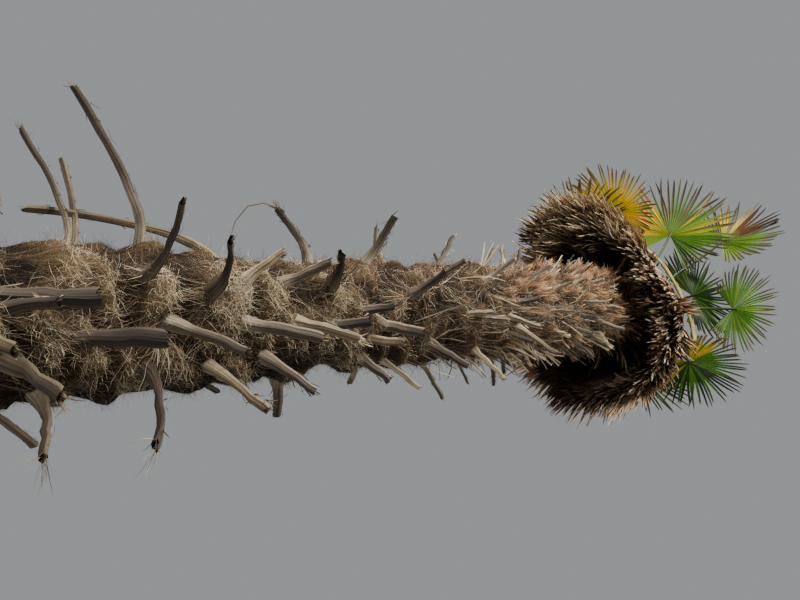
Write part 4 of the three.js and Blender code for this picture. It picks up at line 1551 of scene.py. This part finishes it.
@dataclass
class FrayedFibre:
    """Curly hairs that stand out of the collars' frayed edges."""

    shaft: Shaft
    # Which of the meshes this is, from 1
    number: int
    count: int = 22000
    steps: int = 5
    step: tuple = (3.0, 8.0)
    larger: tuple = ((2600, 1), (4200, 1.35))
    # The share that curl freely, and how strongly these and the others curl
    free: float = 0.35
    curl: tuple = (0.75, 0.42)
    out: tuple = (0.1, 0.9)
    finer: tuple = (0.6, 1.0)
    # Higher up and on the left the frayed fibre is redder and less bleached
    red_azimuth: float = 175
    redder: tuple = ((2300, 0.1), (3000, 0.8))

    def build(self) -> None:
        """Builds and dresses the hairs."""
        shaft, rng, count = self.shaft, self.shaft.rng, self.count
        crests = np.clip(shaft.rise / shaft.collar_rise, 0.1, 1) ** 1.5
        azimuth, height = shaft.starts(shaft.fray**1.3 + 0.2 * crests + 0.06, count)
        step = (rng.uniform(*self.step, count) * by_table(self.larger, height))[:, None, None]
        away, round_by = outwards(azimuth)[:, None, :], sideways(azimuth)[:, None, :]
        free = rng.uniform(0, 1, (count, 1, 1)) < self.free
        lean = 80 * shaft.sampled(shaft.flow, azimuth, height) + rng.normal(0, 22, count)
        lean = np.radians(lean)[:, None, None]
        lock = (round_by * np.cos(lean) + UP * np.sin(lean)) * rng.choice((-1, 1), (count, 1, 1))
        wild = round_by * rng.normal(0, 0.9, (count, 1, 1)) + UP * rng.normal(0.35, 0.6, (count, 1, 1))
        first = away * rng.uniform(*self.out, (count, 1, 1)) + np.where(free, wild, lock)
        curl = rng.normal(0, 1, (count, self.steps, 3)) * np.where(free, *self.curl)
        start = polar(shaft.surface(azimuth, height), azimuth, height)[:, None, :]
        at = walked(start, unit(unit(first) + np.cumsum(curl, 1)) * step)
        # A hair that would dive into the mat runs along it instead
        azimuths = np.degrees(np.arctan2(at[..., 1], at[..., 0]))
        heights = np.clip(at[..., 2], 4, shaft.top + 30)
        reach = np.maximum(np.hypot(at[..., 0], at[..., 1]), shaft.surface(azimuths, heights) + 1.0)
        width = shaft.hair_width(height) * rng.uniform(*self.finer, count)
        paths = Paths.facing(polar(reach, azimuths, heights), outwards(azimuths), width)
        frayed = shaft.sampled(shaft.fray, azimuth, height)
        # Dealt by fraying and by painted light and shade: straw where frayed and lit, brown in the shade
        kinds = shaft.dealt(frayed + 0.4 * shaft.lit(azimuth, height) - 0.04)
        red = by_table(self.redder, height) + 0.5 * facing(azimuth, self.red_azimuth, 3)
        kinds = np.where((kinds < 2) & shaft.happens(red, count), 3, kinds)
        joined = Joined(f"trunk_fibre_frayed_{self.number}", FRIZZ)
        joined.add(Template.ribbon(self.steps), paths, kinds).build()


# The skirt of dead leaves


@dataclass
class Skirt:
    """Dead fan leaves that hang round the top of the trunk in a bell that is open below."""

    shaft: Shaft
    rim_radius: float = 485
    rim_oval: float = 40
    rim_shift: float = 20
    rim_left: float = 45
    rim_dent: float = 150
    rim_dent_azimuth: float = 225
    rim_dent_sharpness: float = 4
    rim_wall: float = 165
    rim_wall_left: float = 55
    rim_least_inner: float = 252
    top: float = 4745
    bottom: float = 4165
    back_raised: float = 110
    # Share of the way down, outer radius as a share of the rim's, and how far it is open inside
    levels: tuple = ((0, 0.44, 0), (0.15, 0.66, 0.3), (0.44, 0.85, 0.85), (0.78, 0.94, 1), (1.0, 0.97, 1))
    leaves: int = 156
    segments: int = 30
    # Clumps round the skirt with dark gaps between, and how many degrees leaves are drawn to them
    clumps: int = 17
    clumped: float = 2.4
    # How far down the hubs hang, and those of every third leaf
    hubs: tuple = (0.02, 0.6)
    high_hubs: tuple = (-0.3, 0.06)
    # Degrees to each side that a leaf spreads, at the wall's inner face and at its outer
    spread: tuple = (12, 23)
    # How far down the tips reach, and how much shorter the segments at a leaf's sides are
    tips: tuple = (0.74, 1.03)
    sides_shorter: float = 0.3
    # Tips flare: the inner ones towards the trunk, the outer ones away from it
    flare: tuple = (-46, 52)
    # A fifth of the outer leaves have blown up, and stand away from the rest
    blown_share: float = 0.2
    blown: float = 70
    # Two tufts of the near rim stand up: azimuth, and how far their tips stand out
    rim_tufts: tuple = ((268, 95), (292, 80))
    width: tuple = (11, 20)
    # Share of the way along a segment and share of its width
    outline: tuple = ((0, 0.4), (0.25, 1), (0.75, 0.8), (1, 0.14))
    # Shares of the five finishes among the leaves, and of the first four among odd segments
    shares: tuple = (0.35, 0.26, 0.09, 0.2, 0.1)
    odd: tuple = (0.3, 0.35, 0.17, 0.18)
    nodes: tuple = tuple(f"dead_leaves_{i + 1:02d}" for i in range(16))

    def __post_init__(self) -> None:
        """Draws where the hub of every leaf hangs."""
        self.leaf = np.repeat(np.arange(self.leaves), self.segments)
        self.rng = rng = np.random.default_rng(SEED + 1)
        azimuth = (np.arange(self.leaves) * GOLDEN_ANGLE + rng.uniform(-8, 8, self.leaves)) % 360
        self.azimuth = azimuth + self.clumped * np.sin(np.radians(azimuth * self.clumps))
        self.layer = rng.uniform(0, 1, self.leaves) ** 0.8
        self.down = rng.uniform(*self.hubs, self.leaves)
        self.down[::3] = rng.uniform(*self.high_hubs, len(self.down[::3]))

    def rim(self, azimuth: Array) -> tuple[Array, Array, Array]:
        """The skirt's rim at azimuths.

        Args:
            azimuth: Degrees.

        Returns:
            The height of its lower edge, and its outer and inner radius.
        """
        a = np.radians(azimuth)
        dent = self.rim_dent * facing(azimuth, self.rim_dent_azimuth, self.rim_dent_sharpness)
        outer = self.rim_radius + self.rim_oval * np.cos(2 * a) - self.rim_shift * np.sin(a)
        outer = outer - self.rim_left * np.cos(a) - dent
        inner = np.maximum(self.rim_least_inner, outer - self.rim_wall + self.rim_wall_left * np.cos(a))
        return self.bottom + self.back_raised * np.maximum(0, np.sin(a)), outer, inner

    def place(self, azimuth: Array, down: Array, layer: Array) -> Array:
        """A place in the skirt's wall.

        Args:
            azimuth: Degrees.
            down: Share of the way down, a little over 1 for tips that hang past the edge.
            layer: 0 at the inner face of the wall and 1 at the outer.

        Returns:
            Points.
        """
        low, outer, inner = self.rim(azimuth)
        shares, outs, opens = zip(*self.levels)
        height = between(self.top, low, down)
        inside = between(self.shaft.radius(height) + 12, inner, np.interp(down, shares, opens))
        return polar(between(inside, outer * np.interp(down, shares, outs), layer), azimuth, height)

    def blades(self) -> tuple[Paths, Array, Array]:
        """The lines of all the segments, which fan out from their hubs and then hang.

        Returns:
            The paths, and the azimuth and the layer of every segment's tip.
        """
        rng, leaf, leaves, count = self.rng, self.leaf, self.leaves, len(self.leaf)
        fan = np.tile(np.linspace(-1, 1, self.segments), leaves) + rng.normal(0, 0.04, count)
        share = np.linspace(0, 1, 7)
        spread = fan * (between(*self.spread, self.layer) * rng.uniform(0.5, 1.25, leaves))[leaf]
        azimuth = self.azimuth[leaf][:, None] + spread[:, None] * np.sin(share * math.pi / 2)
        low = between(*self.tips, rng.uniform(0, 1, leaves) ** 0.7)[leaf]
        end = low + rng.normal(0, 0.035, count) - self.sides_shorter * np.abs(fan) ** 2.5
        start = self.down[leaf] + rng.normal(0, 0.015, count)
        down = start[:, None] + (np.clip(end, start + 0.3, 1.06) - start)[:, None] * share**1.1
        layer = self.layer[leaf][:, None] + rng.normal(0, 0.1, (count, 1)) * share
        tip_azimuth, tip_layer = azimuth[:, -1], layer[:, -1]
        at = self.place(azimuth, down, np.clip(layer, 0.0, 0.97))
        outer = self.layer > 0.5
        flare = between(*self.flare, np.clip(tip_layer, 0, 1)) * rng.uniform(0.2, 1.15, leaves)[leaf]
        flare = flare + rng.normal(0, 9, count)
        blown = (chance(np.arange(leaves), 41) < self.blown_share) & outer
        flare = flare + np.where(blown, self.blown, 0)[leaf] * rng.uniform(0.3, 1, count)
        flare = flare * (1 - 0.9 * facing(self.azimuth, 258, 2))[leaf]
        for tuft, out_by in self.rim_tufts:
            stands = (np.abs(tip_azimuth - tuft) < 3.5) & (rng.uniform(0, 1, count) < 0.75)
            flare = flare + out_by * (stands & outer[leaf]) * rng.uniform(0.5, 1.1, count)
        out = outwards(azimuth)
        at = at + out * (flare[:, None] * share**4)[..., None]
        at = at + sideways(azimuth) * (rng.normal(0, 9, (count, 1)) * share**3)[..., None]
        at = at + rng.normal(0, 1.0, at.shape)
        # Every blade is rolled its own way
        roll = rng.normal(0, 30, (count, 1)) + rng.normal(0, 30, (count, 1)) * share
        roll = np.radians(roll)[..., None]
        width = rng.uniform(*self.width, count)[:, None] * by_table(self.outline, share)
        paths = Paths.facing(at, out, width, width * rng.uniform(0.2, 0.6, (count, 1)))
        side, up = paths.side, paths.up
        paths.side = side * np.cos(roll) + up * np.sin(roll)
        paths.up = up * np.cos(roll) - side * np.sin(roll)
        return paths, tip_azimuth, tip_layer

    def weathering_and_painted_light(self, azimuth: Array, layer: Array) -> Array:
        """Deals out the five finishes. A whole leaf has weathered alike, but for a few segments, and paler
        finishes on the left are painted light, the darkest inside and on the right painted shade.

        Args:
            azimuth: The azimuths of the segments' tips.
            layer: The layers of the wall that the tips hang in.

        Returns:
            Each segment's finish.
        """
        rng, count = self.rng, len(azimuth)
        kinds = rng.choice(5, self.leaves, p=self.shares)[self.leaf]
        odd = rng.uniform(0, 1, count) < 0.14
        kinds = np.where(odd, rng.choice(4, count, p=self.odd), kinds)
        # On the near side the blades are browner
        browner = (kinds < 3) & (rng.uniform(0, 1, count) < 0.75 * facing(azimuth, 262, 2))
        kinds = np.where(browner, rng.choice((0, 3, 4), count, p=(0.45, 0.35, 0.2)), kinds)
        # On the left, where the light comes from, some blades inside the wall get paler finishes, which is
        # painted light
        inside = (kinds < 4) & (self.layer < 0.72)[self.leaf]
        painted_light_left = inside & (rng.uniform(0, 1, count) < 0.7 * facing(azimuth, 185, 2))
        kinds = np.where(painted_light_left, rng.choice((1, 2), count, p=(0.45, 0.55)), kinds)
        # Painted shade: the inner blades and those on the shaded right side get the darkest finish
        painted_shade_layer = between(0.1, 0.45, rng.uniform(0, 1, count)) + 0.6 * facing(azimuth, 15, 2.5)
        return np.where(layer < painted_shade_layer, 4, kinds)

    def build(self) -> None:
        """Hangs every dead leaf, and the old stalks that hold them."""
        paths, azimuth, layer = self.blades()
        kinds = self.weathering_and_painted_light(azimuth, layer)
        template = Template.folded_segment(6)
        for name, chosen in (("outer", layer >= 0.5), ("inner", layer < 0.5)):
            joined = Joined(f"dead_leaves_{name}", DEAD, "dead_leaf", self.nodes)
            joined.add(template, paths.chosen(chosen), kinds[chosen]).build()
        self.build_stalks()

    def build_stalks(self) -> None:
        """Runs an old stalk from the trunk to the hub of every dead leaf."""
        hub = self.place(self.azimuth, self.down, self.layer)
        foot_height = hub[:, 2] - 20
        foot = polar(self.shaft.radius(foot_height) - 20, self.azimuth, foot_height)
        share = np.linspace(0, 1, 6)
        at = between(foot[:, None, :], hub[:, None, :], share[:, None])
        reach = np.linalg.norm(hub - foot, axis=1)[:, None]
        at[..., 2] += 0.3 * reach * np.sin(share * math.pi) - 0.05 * reach * share
        width = np.ones((self.leaves, 1)) * by_table(((0, 30), (0.3, 14), (1, 9)), share)
        # Every fourth stalk is a brown one
        kinds = (np.arange(self.leaves) % 4 == 3).astype(int)
        joined = Joined("dead_leaf_stalks", [DEAD[4], DEAD[0]], "dead_leaf", self.nodes)
        joined.add(Template.bar(5, 8, 0.2), Paths.facing(at, UP, width, width * 0.6), kinds).build()


# The crown


@dataclass
class FanLeaf:
    """One round fan leaf: a stalk from the trunk's top and a blade of folded segments."""

    shaft: Shaft
    node: str
    azimuth: float
    lift: float
    foot: float
    stalk: float
    roll: float
    size: float
    # Runs of the fan, each with the share of the way round where it ends and the tints it deals
    palette: tuple
    index: int
    blade_radius: float = 380
    spread: float = 142
    segments: int = 48
    sound_share: float = 0.42
    stalk_steps: int = 4
    stalk_sunk: float = 30
    stalk_width: float = 20
    stalk_foot_width: float = 34
    hub_length: float = 26

    def __post_init__(self) -> None:
        """Works out how the leaf's own lift bends and tips it, and its blade's hub and axes."""
        upright = max(0.0, self.lift) / 90
        self.radius = self.blade_radius * self.size
        self.recline = between(18, 2, upright)
        self.droop = between(0.2, 0.06, upright)
        self.arch = between(17, 7, upright)
        self.places, self.ways = self.stalk_line()
        self.hub = self.places[-1]
        self.forward, self.side, self.up = self.blade_axes()

    def towards(self, lift: float) -> Array:
        """The leaf's level direction tipped up by an angle in degrees."""
        pitch = math.radians(lift)
        return polar(math.cos(pitch), self.azimuth, math.sin(pitch))

    def stalk_line(self) -> tuple[Array, Array]:
        """The stalk's line, steeper at its foot and arching over to the hub of the blade.

        Returns:
            Its places, and the way along at each.
        """
        at = polar(self.shaft.radius(self.foot) - self.stalk_sunk, self.azimuth, self.foot)
        places, ways = [], []
        for step in range(self.stalk_steps + 1):
            share = step / self.stalk_steps
            places.append(at)
            ways.append(self.towards(self.lift + self.arch * (1 - 2 * share)))
            ahead = self.towards(self.lift + self.arch * (1 - 2 * (share + 0.5 / self.stalk_steps)))
            at = at + ahead * (self.stalk + self.stalk_sunk) / self.stalk_steps
        return np.array(places), np.array(ways)

    def blade_axes(self) -> tuple[Array, Array, Array]:
        """The blade's own axes at its hub, reclined and rolled.

        Returns:
            The ways forwards, to the side and up.
        """
        pitch, roll = math.radians(-self.recline), math.radians(self.roll)
        along, side = self.ways[-1], sideways(self.azimuth)
        forward = unit(along * math.cos(pitch) + np.cross(along, side) * math.sin(pitch))
        lifted = unit(np.cross(forward, side))
        side = side * math.cos(roll) + lifted * math.sin(roll)
        return forward, side, np.cross(forward, side)

    def reaches(self, angles: Array) -> Array:
        """How far each segment may reach, read from the tips of the CAD leaf that it stands for.

        Args:
            angles: The segments' angles from forwards, in degrees.

        Returns:
            A length for each segment, 0 where the CAD leaf has none.
        """
        mesh = frame["nodes"][self.node].data
        corners = np.array([v.co for v in mesh.vertices]) / MM - self.hub
        x, y, z = (corners @ axis for axis in (self.forward, self.side, self.up))
        out = np.hypot(x, y)
        tips = (out > self.radius * 0.5) & (np.abs(z) < self.radius * 0.45)
        gap = np.abs(angles[:, None] - np.degrees(np.arctan2(y, x))[tips])
        return np.where(gap.min(1) < 10.5, out[tips][gap.argmin(1)], 0)

    def build(self, segment: Template, bar: Template) -> None:
        """Makes the leaf's blade and stalk as one piece.

        Args:
            segment: The folded segment.
            bar: The stalk's shape.
        """
        rng = np.random.default_rng(SEED + 10 + self.index)
        forward, side, up = self.forward, self.side, self.up
        step = 2 * self.spread / self.segments
        angles = -self.spread + step * (np.arange(self.segments) + 0.5)
        lengths = self.reaches(angles)
        kept = lengths > 0
        angles, lengths = angles[kept], lengths[kept] * rng.uniform(0.86, 1.0, int(kept.sum()))
        count = len(angles)
        sound = self.radius * self.sound_share
        out = 6 + (lengths[:, None] - 6) * np.linspace(0, 1, 8)
        # Past the split a segment drifts off its line a little, and its point sags
        free = np.clip((out - sound) / (self.radius - sound), 0, 1)
        turned = np.radians(angles[:, None] + rng.normal(0, 3.2, (count, 1)) * free)[..., None]
        sag = self.droop * out**2 / self.radius + rng.normal(8, 12, (count, 1)) * free**2
        spoke = forward * np.cos(turned) + side * np.sin(turned)
        wedge = 2 * np.minimum(out, sound) * math.tan(math.radians(step / 2))
        width = wedge * (1 - free**2.2 * 0.9) + 0.4
        width = width * np.where(free > 0, rng.uniform(0.8, 1.1, (count, 1)), 1.04)
        depth = np.maximum(width * between(0.5, 0.8, free), 0.8)
        line = self.hub + spoke * out[..., None] - up * sag[..., None]
        blade = Paths.facing(line, up, width, depth)
        tints, kinds = list(Tint), []
        for where in (angles + self.spread) / (2 * self.spread):
            dealt = next(dealt for end, *dealt in self.palette if where <= end + 1e-6)
            kinds.append(tints.index(dealt[int(rng.integers(len(dealt)))]))
        finishes = [*(tint.value for tint in tints), GREEN_STALK]
        joined = Joined(f"{self.node}_blade", finishes, "green_leaf", [self.node])
        joined.add(segment, blade, np.array(kinds))
        # The stalk runs on into the blade as a short knob
        at = np.vstack([self.places, self.hub + forward * self.hub_length])[None]
        level = sideways(self.azimuth)
        sides = np.vstack([np.broadcast_to(level, self.ways.shape), side])[None]
        ups = np.vstack([np.cross(self.ways, level), up])[None]
        share = np.linspace(0, 1, self.stalk_steps + 1)
        wide = np.interp(share, (0, 0.5), (self.stalk_foot_width, self.stalk_width))
        widths = np.append(wide, 8.0)[None]
        joined.add(bar, Paths(at, -sides, ups, widths, widths * 0.6), len(tints)).build()


@dataclass
class Crown:
    """All the green fan leaves, by the rule of the source."""

    shaft: Shaft
    # azimuth, lift, foot, stalk, roll and size
    front: tuple = (
        (150, 2, 4810, 370, 12, 0.85),
        (169, 10, 4850, 410, -14, 0.84),
        (194, 49, 4890, 485, 4, 1),
        (219, 58, 4930, 770, -30, 0.92),
        (326, 52, 4900, 440, 12, 0.84),
        (272, 66, 4960, 700, 4, 0.8),
        (245, 80, 5020, 590, 0, 0.92),
    )
    palettes: tuple = (
        ((0.5, Tint.GREEN, Tint.LIME), (1.0, Tint.GREEN, Tint.YELLOW)),
        ((0.35, Tint.LIME, Tint.YELLOW), (0.7, Tint.YELLOW, Tint.ORANGE), (1.0, Tint.ORANGE, Tint.YELLOW)),
        (
            (0.1, Tint.LIME),
            (0.36, Tint.ORANGE, Tint.YELLOW, Tint.LIME),
            (0.62, Tint.DRY_TIP, Tint.GREEN, Tint.YELLOW, Tint.DRY_TIP, Tint.DRY_TIP),
            (0.8, Tint.YELLOW, Tint.LIME, Tint.GREEN, Tint.GREEN),
            (1.0, Tint.GREEN, Tint.DEEP),
        ),
        (
            (0.3, Tint.LIME, Tint.GREEN),
            (0.5, Tint.LIME, Tint.YELLOW, Tint.DRY_TIP),
            (0.66, Tint.RUSTY, Tint.DRY_TIP, Tint.RUSTY),
            (1.0, Tint.LIME, Tint.GREEN),
        ),
        (
            (0.27, Tint.ORANGE, Tint.YELLOW, Tint.GREEN),
            (0.75, Tint.GREEN, Tint.DEEP),
            (1.0, Tint.YELLOW, Tint.DEEP),
        ),
        ((1.0, Tint.GREEN, Tint.GREEN, Tint.LIME),),
        ((1.0, Tint.DEEP, Tint.DEEP, Tint.DEEP, Tint.GREEN),),
    )
    back_palettes: tuple = (
        ((0.8, Tint.GREEN, Tint.DEEP), (1.0, Tint.YELLOW, Tint.GREEN)),
        ((0.5, Tint.GREEN, Tint.LIME), (1.0, Tint.GREEN)),
        ((0.2, Tint.ORANGE, Tint.YELLOW), (1.0, Tint.GREEN, Tint.DEEP)),
    )
    back_leaves: int = 11
    back_from: float = 2
    back_arc: float = 130
    back_lowest_lift: float = 36
    right_lowest_lift: float = 64
    back_highest_lift: float = 76
    back_foot: tuple = (4810, 5046)
    back_stalk: tuple = (525, 627)
    back_roll: tuple = (-16, 16)
    back_size: tuple = (0.94, 1.04)

    def leaves(self) -> list[FanLeaf]:
        """Every leaf with its sizes, in the order of the CAD nodes.

        Returns:
            The leaves.
        """
        rows = [(*row, palette) for row, palette in zip(self.front, self.palettes)]
        for i in range(self.back_leaves):
            age = i / (self.back_leaves - 1)
            round_by = (0.5 + GOLDEN_SHARE * i) % 1
            lowest = between(self.right_lowest_lift, self.back_lowest_lift, min(1, 2 * round_by))
            azimuth = self.back_from + self.back_arc * round_by
            stalk, roll = between(*self.back_stalk, chance(i, 13)), between(*self.back_roll, chance(i, 15))
            place = (azimuth, between(lowest, self.back_highest_lift, age), between(*self.back_foot, age))
            palette = self.back_palettes[i % len(self.back_palettes)]
            rows.append((*place, stalk, roll, between(*self.back_size, chance(i, 14)), palette))
        names = [f"fan_leaf_{i + 1:02d}" for i in range(len(rows))]
        return [FanLeaf(self.shaft, name, *row, index=i) for i, (name, row) in enumerate(zip(names, rows))]

    def build(self) -> None:
        """Builds and dresses every fan leaf."""
        segment, bar = Template.folded_segment(7), Template.bar(6, 8, 0.2)
        for leaf in self.leaves():
            leaf.build(segment, bar)


@dataclass
class Spears:
    """Young leaves that are still folded, in the heart of the crown."""

    # azimuth, lean and length
    rows: tuple = ((150, 5, 800), (318, 8, 640))
    foot: float = 5030
    offset: float = 22
    width: float = 26
    # Share of the way up and share of the full width
    shape: tuple = ((0, 0.8), (0.35, 0.6), (0.6, 1), (0.85, 0.7), (1, 0.12))
    pleats: int = 9

    def build(self) -> None:
        """Makes each spear from a bundle of folded segments."""
        segment = Template.folded_segment(9)
        share = np.linspace(0, 1, 10)
        turn = (np.arange(self.pleats) * 2 * math.pi / self.pleats)[:, None, None]
        for index, (azimuth, lean, length) in enumerate(self.rows):
            way = polar(math.sin(math.radians(lean)), azimuth, math.cos(math.radians(lean)))
            side = sideways(azimuth)
            out = side * np.cos(turn) + np.cross(side, way) * np.sin(turn)
            width = self.width * by_table(self.shape, share)
            middle = polar(self.offset, azimuth, self.foot) + way * (length * share)[:, None]
            at = middle + out * (width * 0.28)[:, None]
            widths = np.broadcast_to(width * 0.62, at.shape[:2])
            node = f"spear_leaf_{index + 1}"
            joined = Joined(f"{node}_folded", [YOUNG], "young_leaf", [node])
            joined.add(segment, Paths.facing(at, out, widths, widths * 0.8)).build()


@dataclass
class FruitStalk:
    """An old fruit stalk that arches over the near rim of the skirt, with its papery bracts."""

    line: tuple = (
        (45, -70, 4925), (125, -190, 5030), (182, -264, 5095), (126, -255, 5140), (46, -240, 5125),
        (-40, -220, 5080), (-157, -180, 5015), (-254, -130, 4945), (-334, -60, 4850),
    )
    width: float = 26
    stations: int = 33
    bract_pitch: int = 4

    def smooth_line(self) -> Array:
        """The line through the source's points, rounded between them.

        Returns:
            Points at even steps.
        """
        knots = np.array(self.line, float)
        padded = np.vstack([2 * knots[0] - knots[1], knots, 2 * knots[-1] - knots[-2]])
        t = np.linspace(0, len(knots) - 1.0001, self.stations)
        i = t.astype(int)
        f = (t - i)[:, None]
        a, b, c, d = (padded[i + k] for k in range(4))
        bend = (2 * a - 5 * b + 4 * c - d) * f**2 + (3 * b - a - 3 * c + d) * f**3
        return 0.5 * (2 * b + (c - a) * f + bend)

    def build(self) -> None:
        """Makes the stalk with a sheath at every joint of it."""
        line = self.smooth_line()[None]
        width = np.linspace(self.width, self.width * 0.6, self.stations)[None]
        stalk = Paths.facing(line, UP, width, width * 0.9)
        joined = Joined("fruit_stalk_arch", [FRUIT_WOOD, BRACT], "fruit_stalk", ["fruit_stalk"])
        joined.add(Template.bar(32, 8, 0.02), stalk)
        sheath = Template.bar(4, 8, 0.0, torn=0.05)
        for start in range(4, self.stations - 5, self.bract_pitch):
            part = (slice(None), slice(start, start + 4))
            flared = width[part] * np.linspace(1.12, 1.6, 4)
            joined.add(sheath, Paths(line[part], stalk.side[part], stalk.up[part], flared, flared), 1)
        joined.build()


# The studio


@dataclass
class Studio:
    """A pale floor, soft lights and the camera at the photograph's angle."""

    floor_radius: float = 6.0
    # Place, what it faces, size, power and colour of each soft light
    lights: tuple = (
        ("key", (-4.4, -1.7, 3.3), (0.0, 0.0, 4.1), 1.0, 465, 0xFFF8F0),
        ("high", (-3.6, -2.0, 5.4), (0.0, 0.0, 2.3), 1.0, 440, 0xFFF9F2),
        ("fill", (-0.6, -4.2, 2.4), (0.0, 0.0, 2.8), 2.4, 18, 0xFFFAF0),
        ("back", (-1.6, 1.6, 8.4), (0.0, 0.0, 5.0), 2.4, 250, 0xFFFFFF),
        ("low", (-1.9, -1.6, 2.9), (-0.2, -0.1, 4.6), 0.8, 84, 0xFFFAF2),
        ("right", (1.9, -1.4, 3.6), (0.1, -0.1, 5.2), 0.8, 24, 0xFFFCF8),
    )
    world: Hex = 0xE8ECF0
    world_strength: float = 0.38
    # The photograph was taken with its long side level and the palm across it, looking steeply up
    camera_at: tuple = (-0.04, -1.1, 1.5)
    camera_pitch: float = 52
    lens: float = 28.35

    def build(self) -> None:
        """Makes the floor, the lights, the sky and the camera."""
        self.build_floor()
        for name, place, target, size, power, colour in self.lights:
            lamp = bpy.data.lights.new(f"{name}_light", "AREA")
            lamp.size, lamp.energy = size, power
            lamp.color = linear(colour)[:3]
            light = bpy.data.objects.new(lamp.name, lamp)
            light.location = place
            light.rotation_euler = (Vector(target) - Vector(place)).to_track_quat("-Z", "Y").to_euler()
            bpy.context.scene.collection.objects.link(light)
        world = bpy.data.worlds.new("soft_sky")
        world.use_nodes = True
        background = world.node_tree.nodes["Background"]
        background.inputs["Color"].default_value = linear(self.world)
        background.inputs["Strength"].default_value = self.world_strength
        bpy.context.scene.world = world
        self.build_camera()

    def build_floor(self) -> None:
        """Makes a round floor with an inset edge."""
        below = (0, 0, -0.001)
        floor = start_shape(
            "circle", vertices=96, radius=self.floor_radius, fill_type="NGON", location=below
        )
        pick(floor, lambda at: True, Domain.FACE)
        bpy.ops.mesh.inset(thickness=0.3)
        bpy.ops.object.mode_set(mode="OBJECT")
        floor.name = "studio_floor"
        floor.data.materials.append(made(FLOOR_PAPER))

    def build_camera(self) -> None:
        """Sets the camera near the trunk, turned on its side and tipped up, as in the photograph."""
        lens = bpy.data.cameras.new("camera")
        lens.lens, lens.sensor_width = self.lens, 36.0
        camera = bpy.data.objects.new("camera", lens)
        s, c = math.sin(math.radians(self.camera_pitch)), math.cos(math.radians(self.camera_pitch))
        turn = Matrix(((0, -1, 0), (-s, 0, -c), (c, 0, -s)))
        camera.matrix_world = Matrix.Translation(self.camera_at) @ turn.to_4x4()
        bpy.context.scene.collection.objects.link(camera)
        bpy.context.scene.camera = camera


def main() -> None:
    """Builds the palm round its frame, then the studio."""
    logging.basicConfig(level=logging.INFO, format="%(name)s %(message)s")
    shaft = Shaft()
    trunk = (shaft, Stubs(shaft), SplitStalks(shaft), LeafFeet(shaft), CombedFibre(shaft), Sheaths(shaft))
    hairs = (Tufts(shaft), LooseFibre(shaft), FrayedFibre(shaft, 1), FrayedFibre(shaft, 2))
    for part in (*trunk, *hairs, Skirt(shaft), Crown(shaft), Spears(), FruitStalk(), Studio()):
        log.info("building the %s", type(part).__name__)
        part.build()


if __name__ == "__main__":
    main()
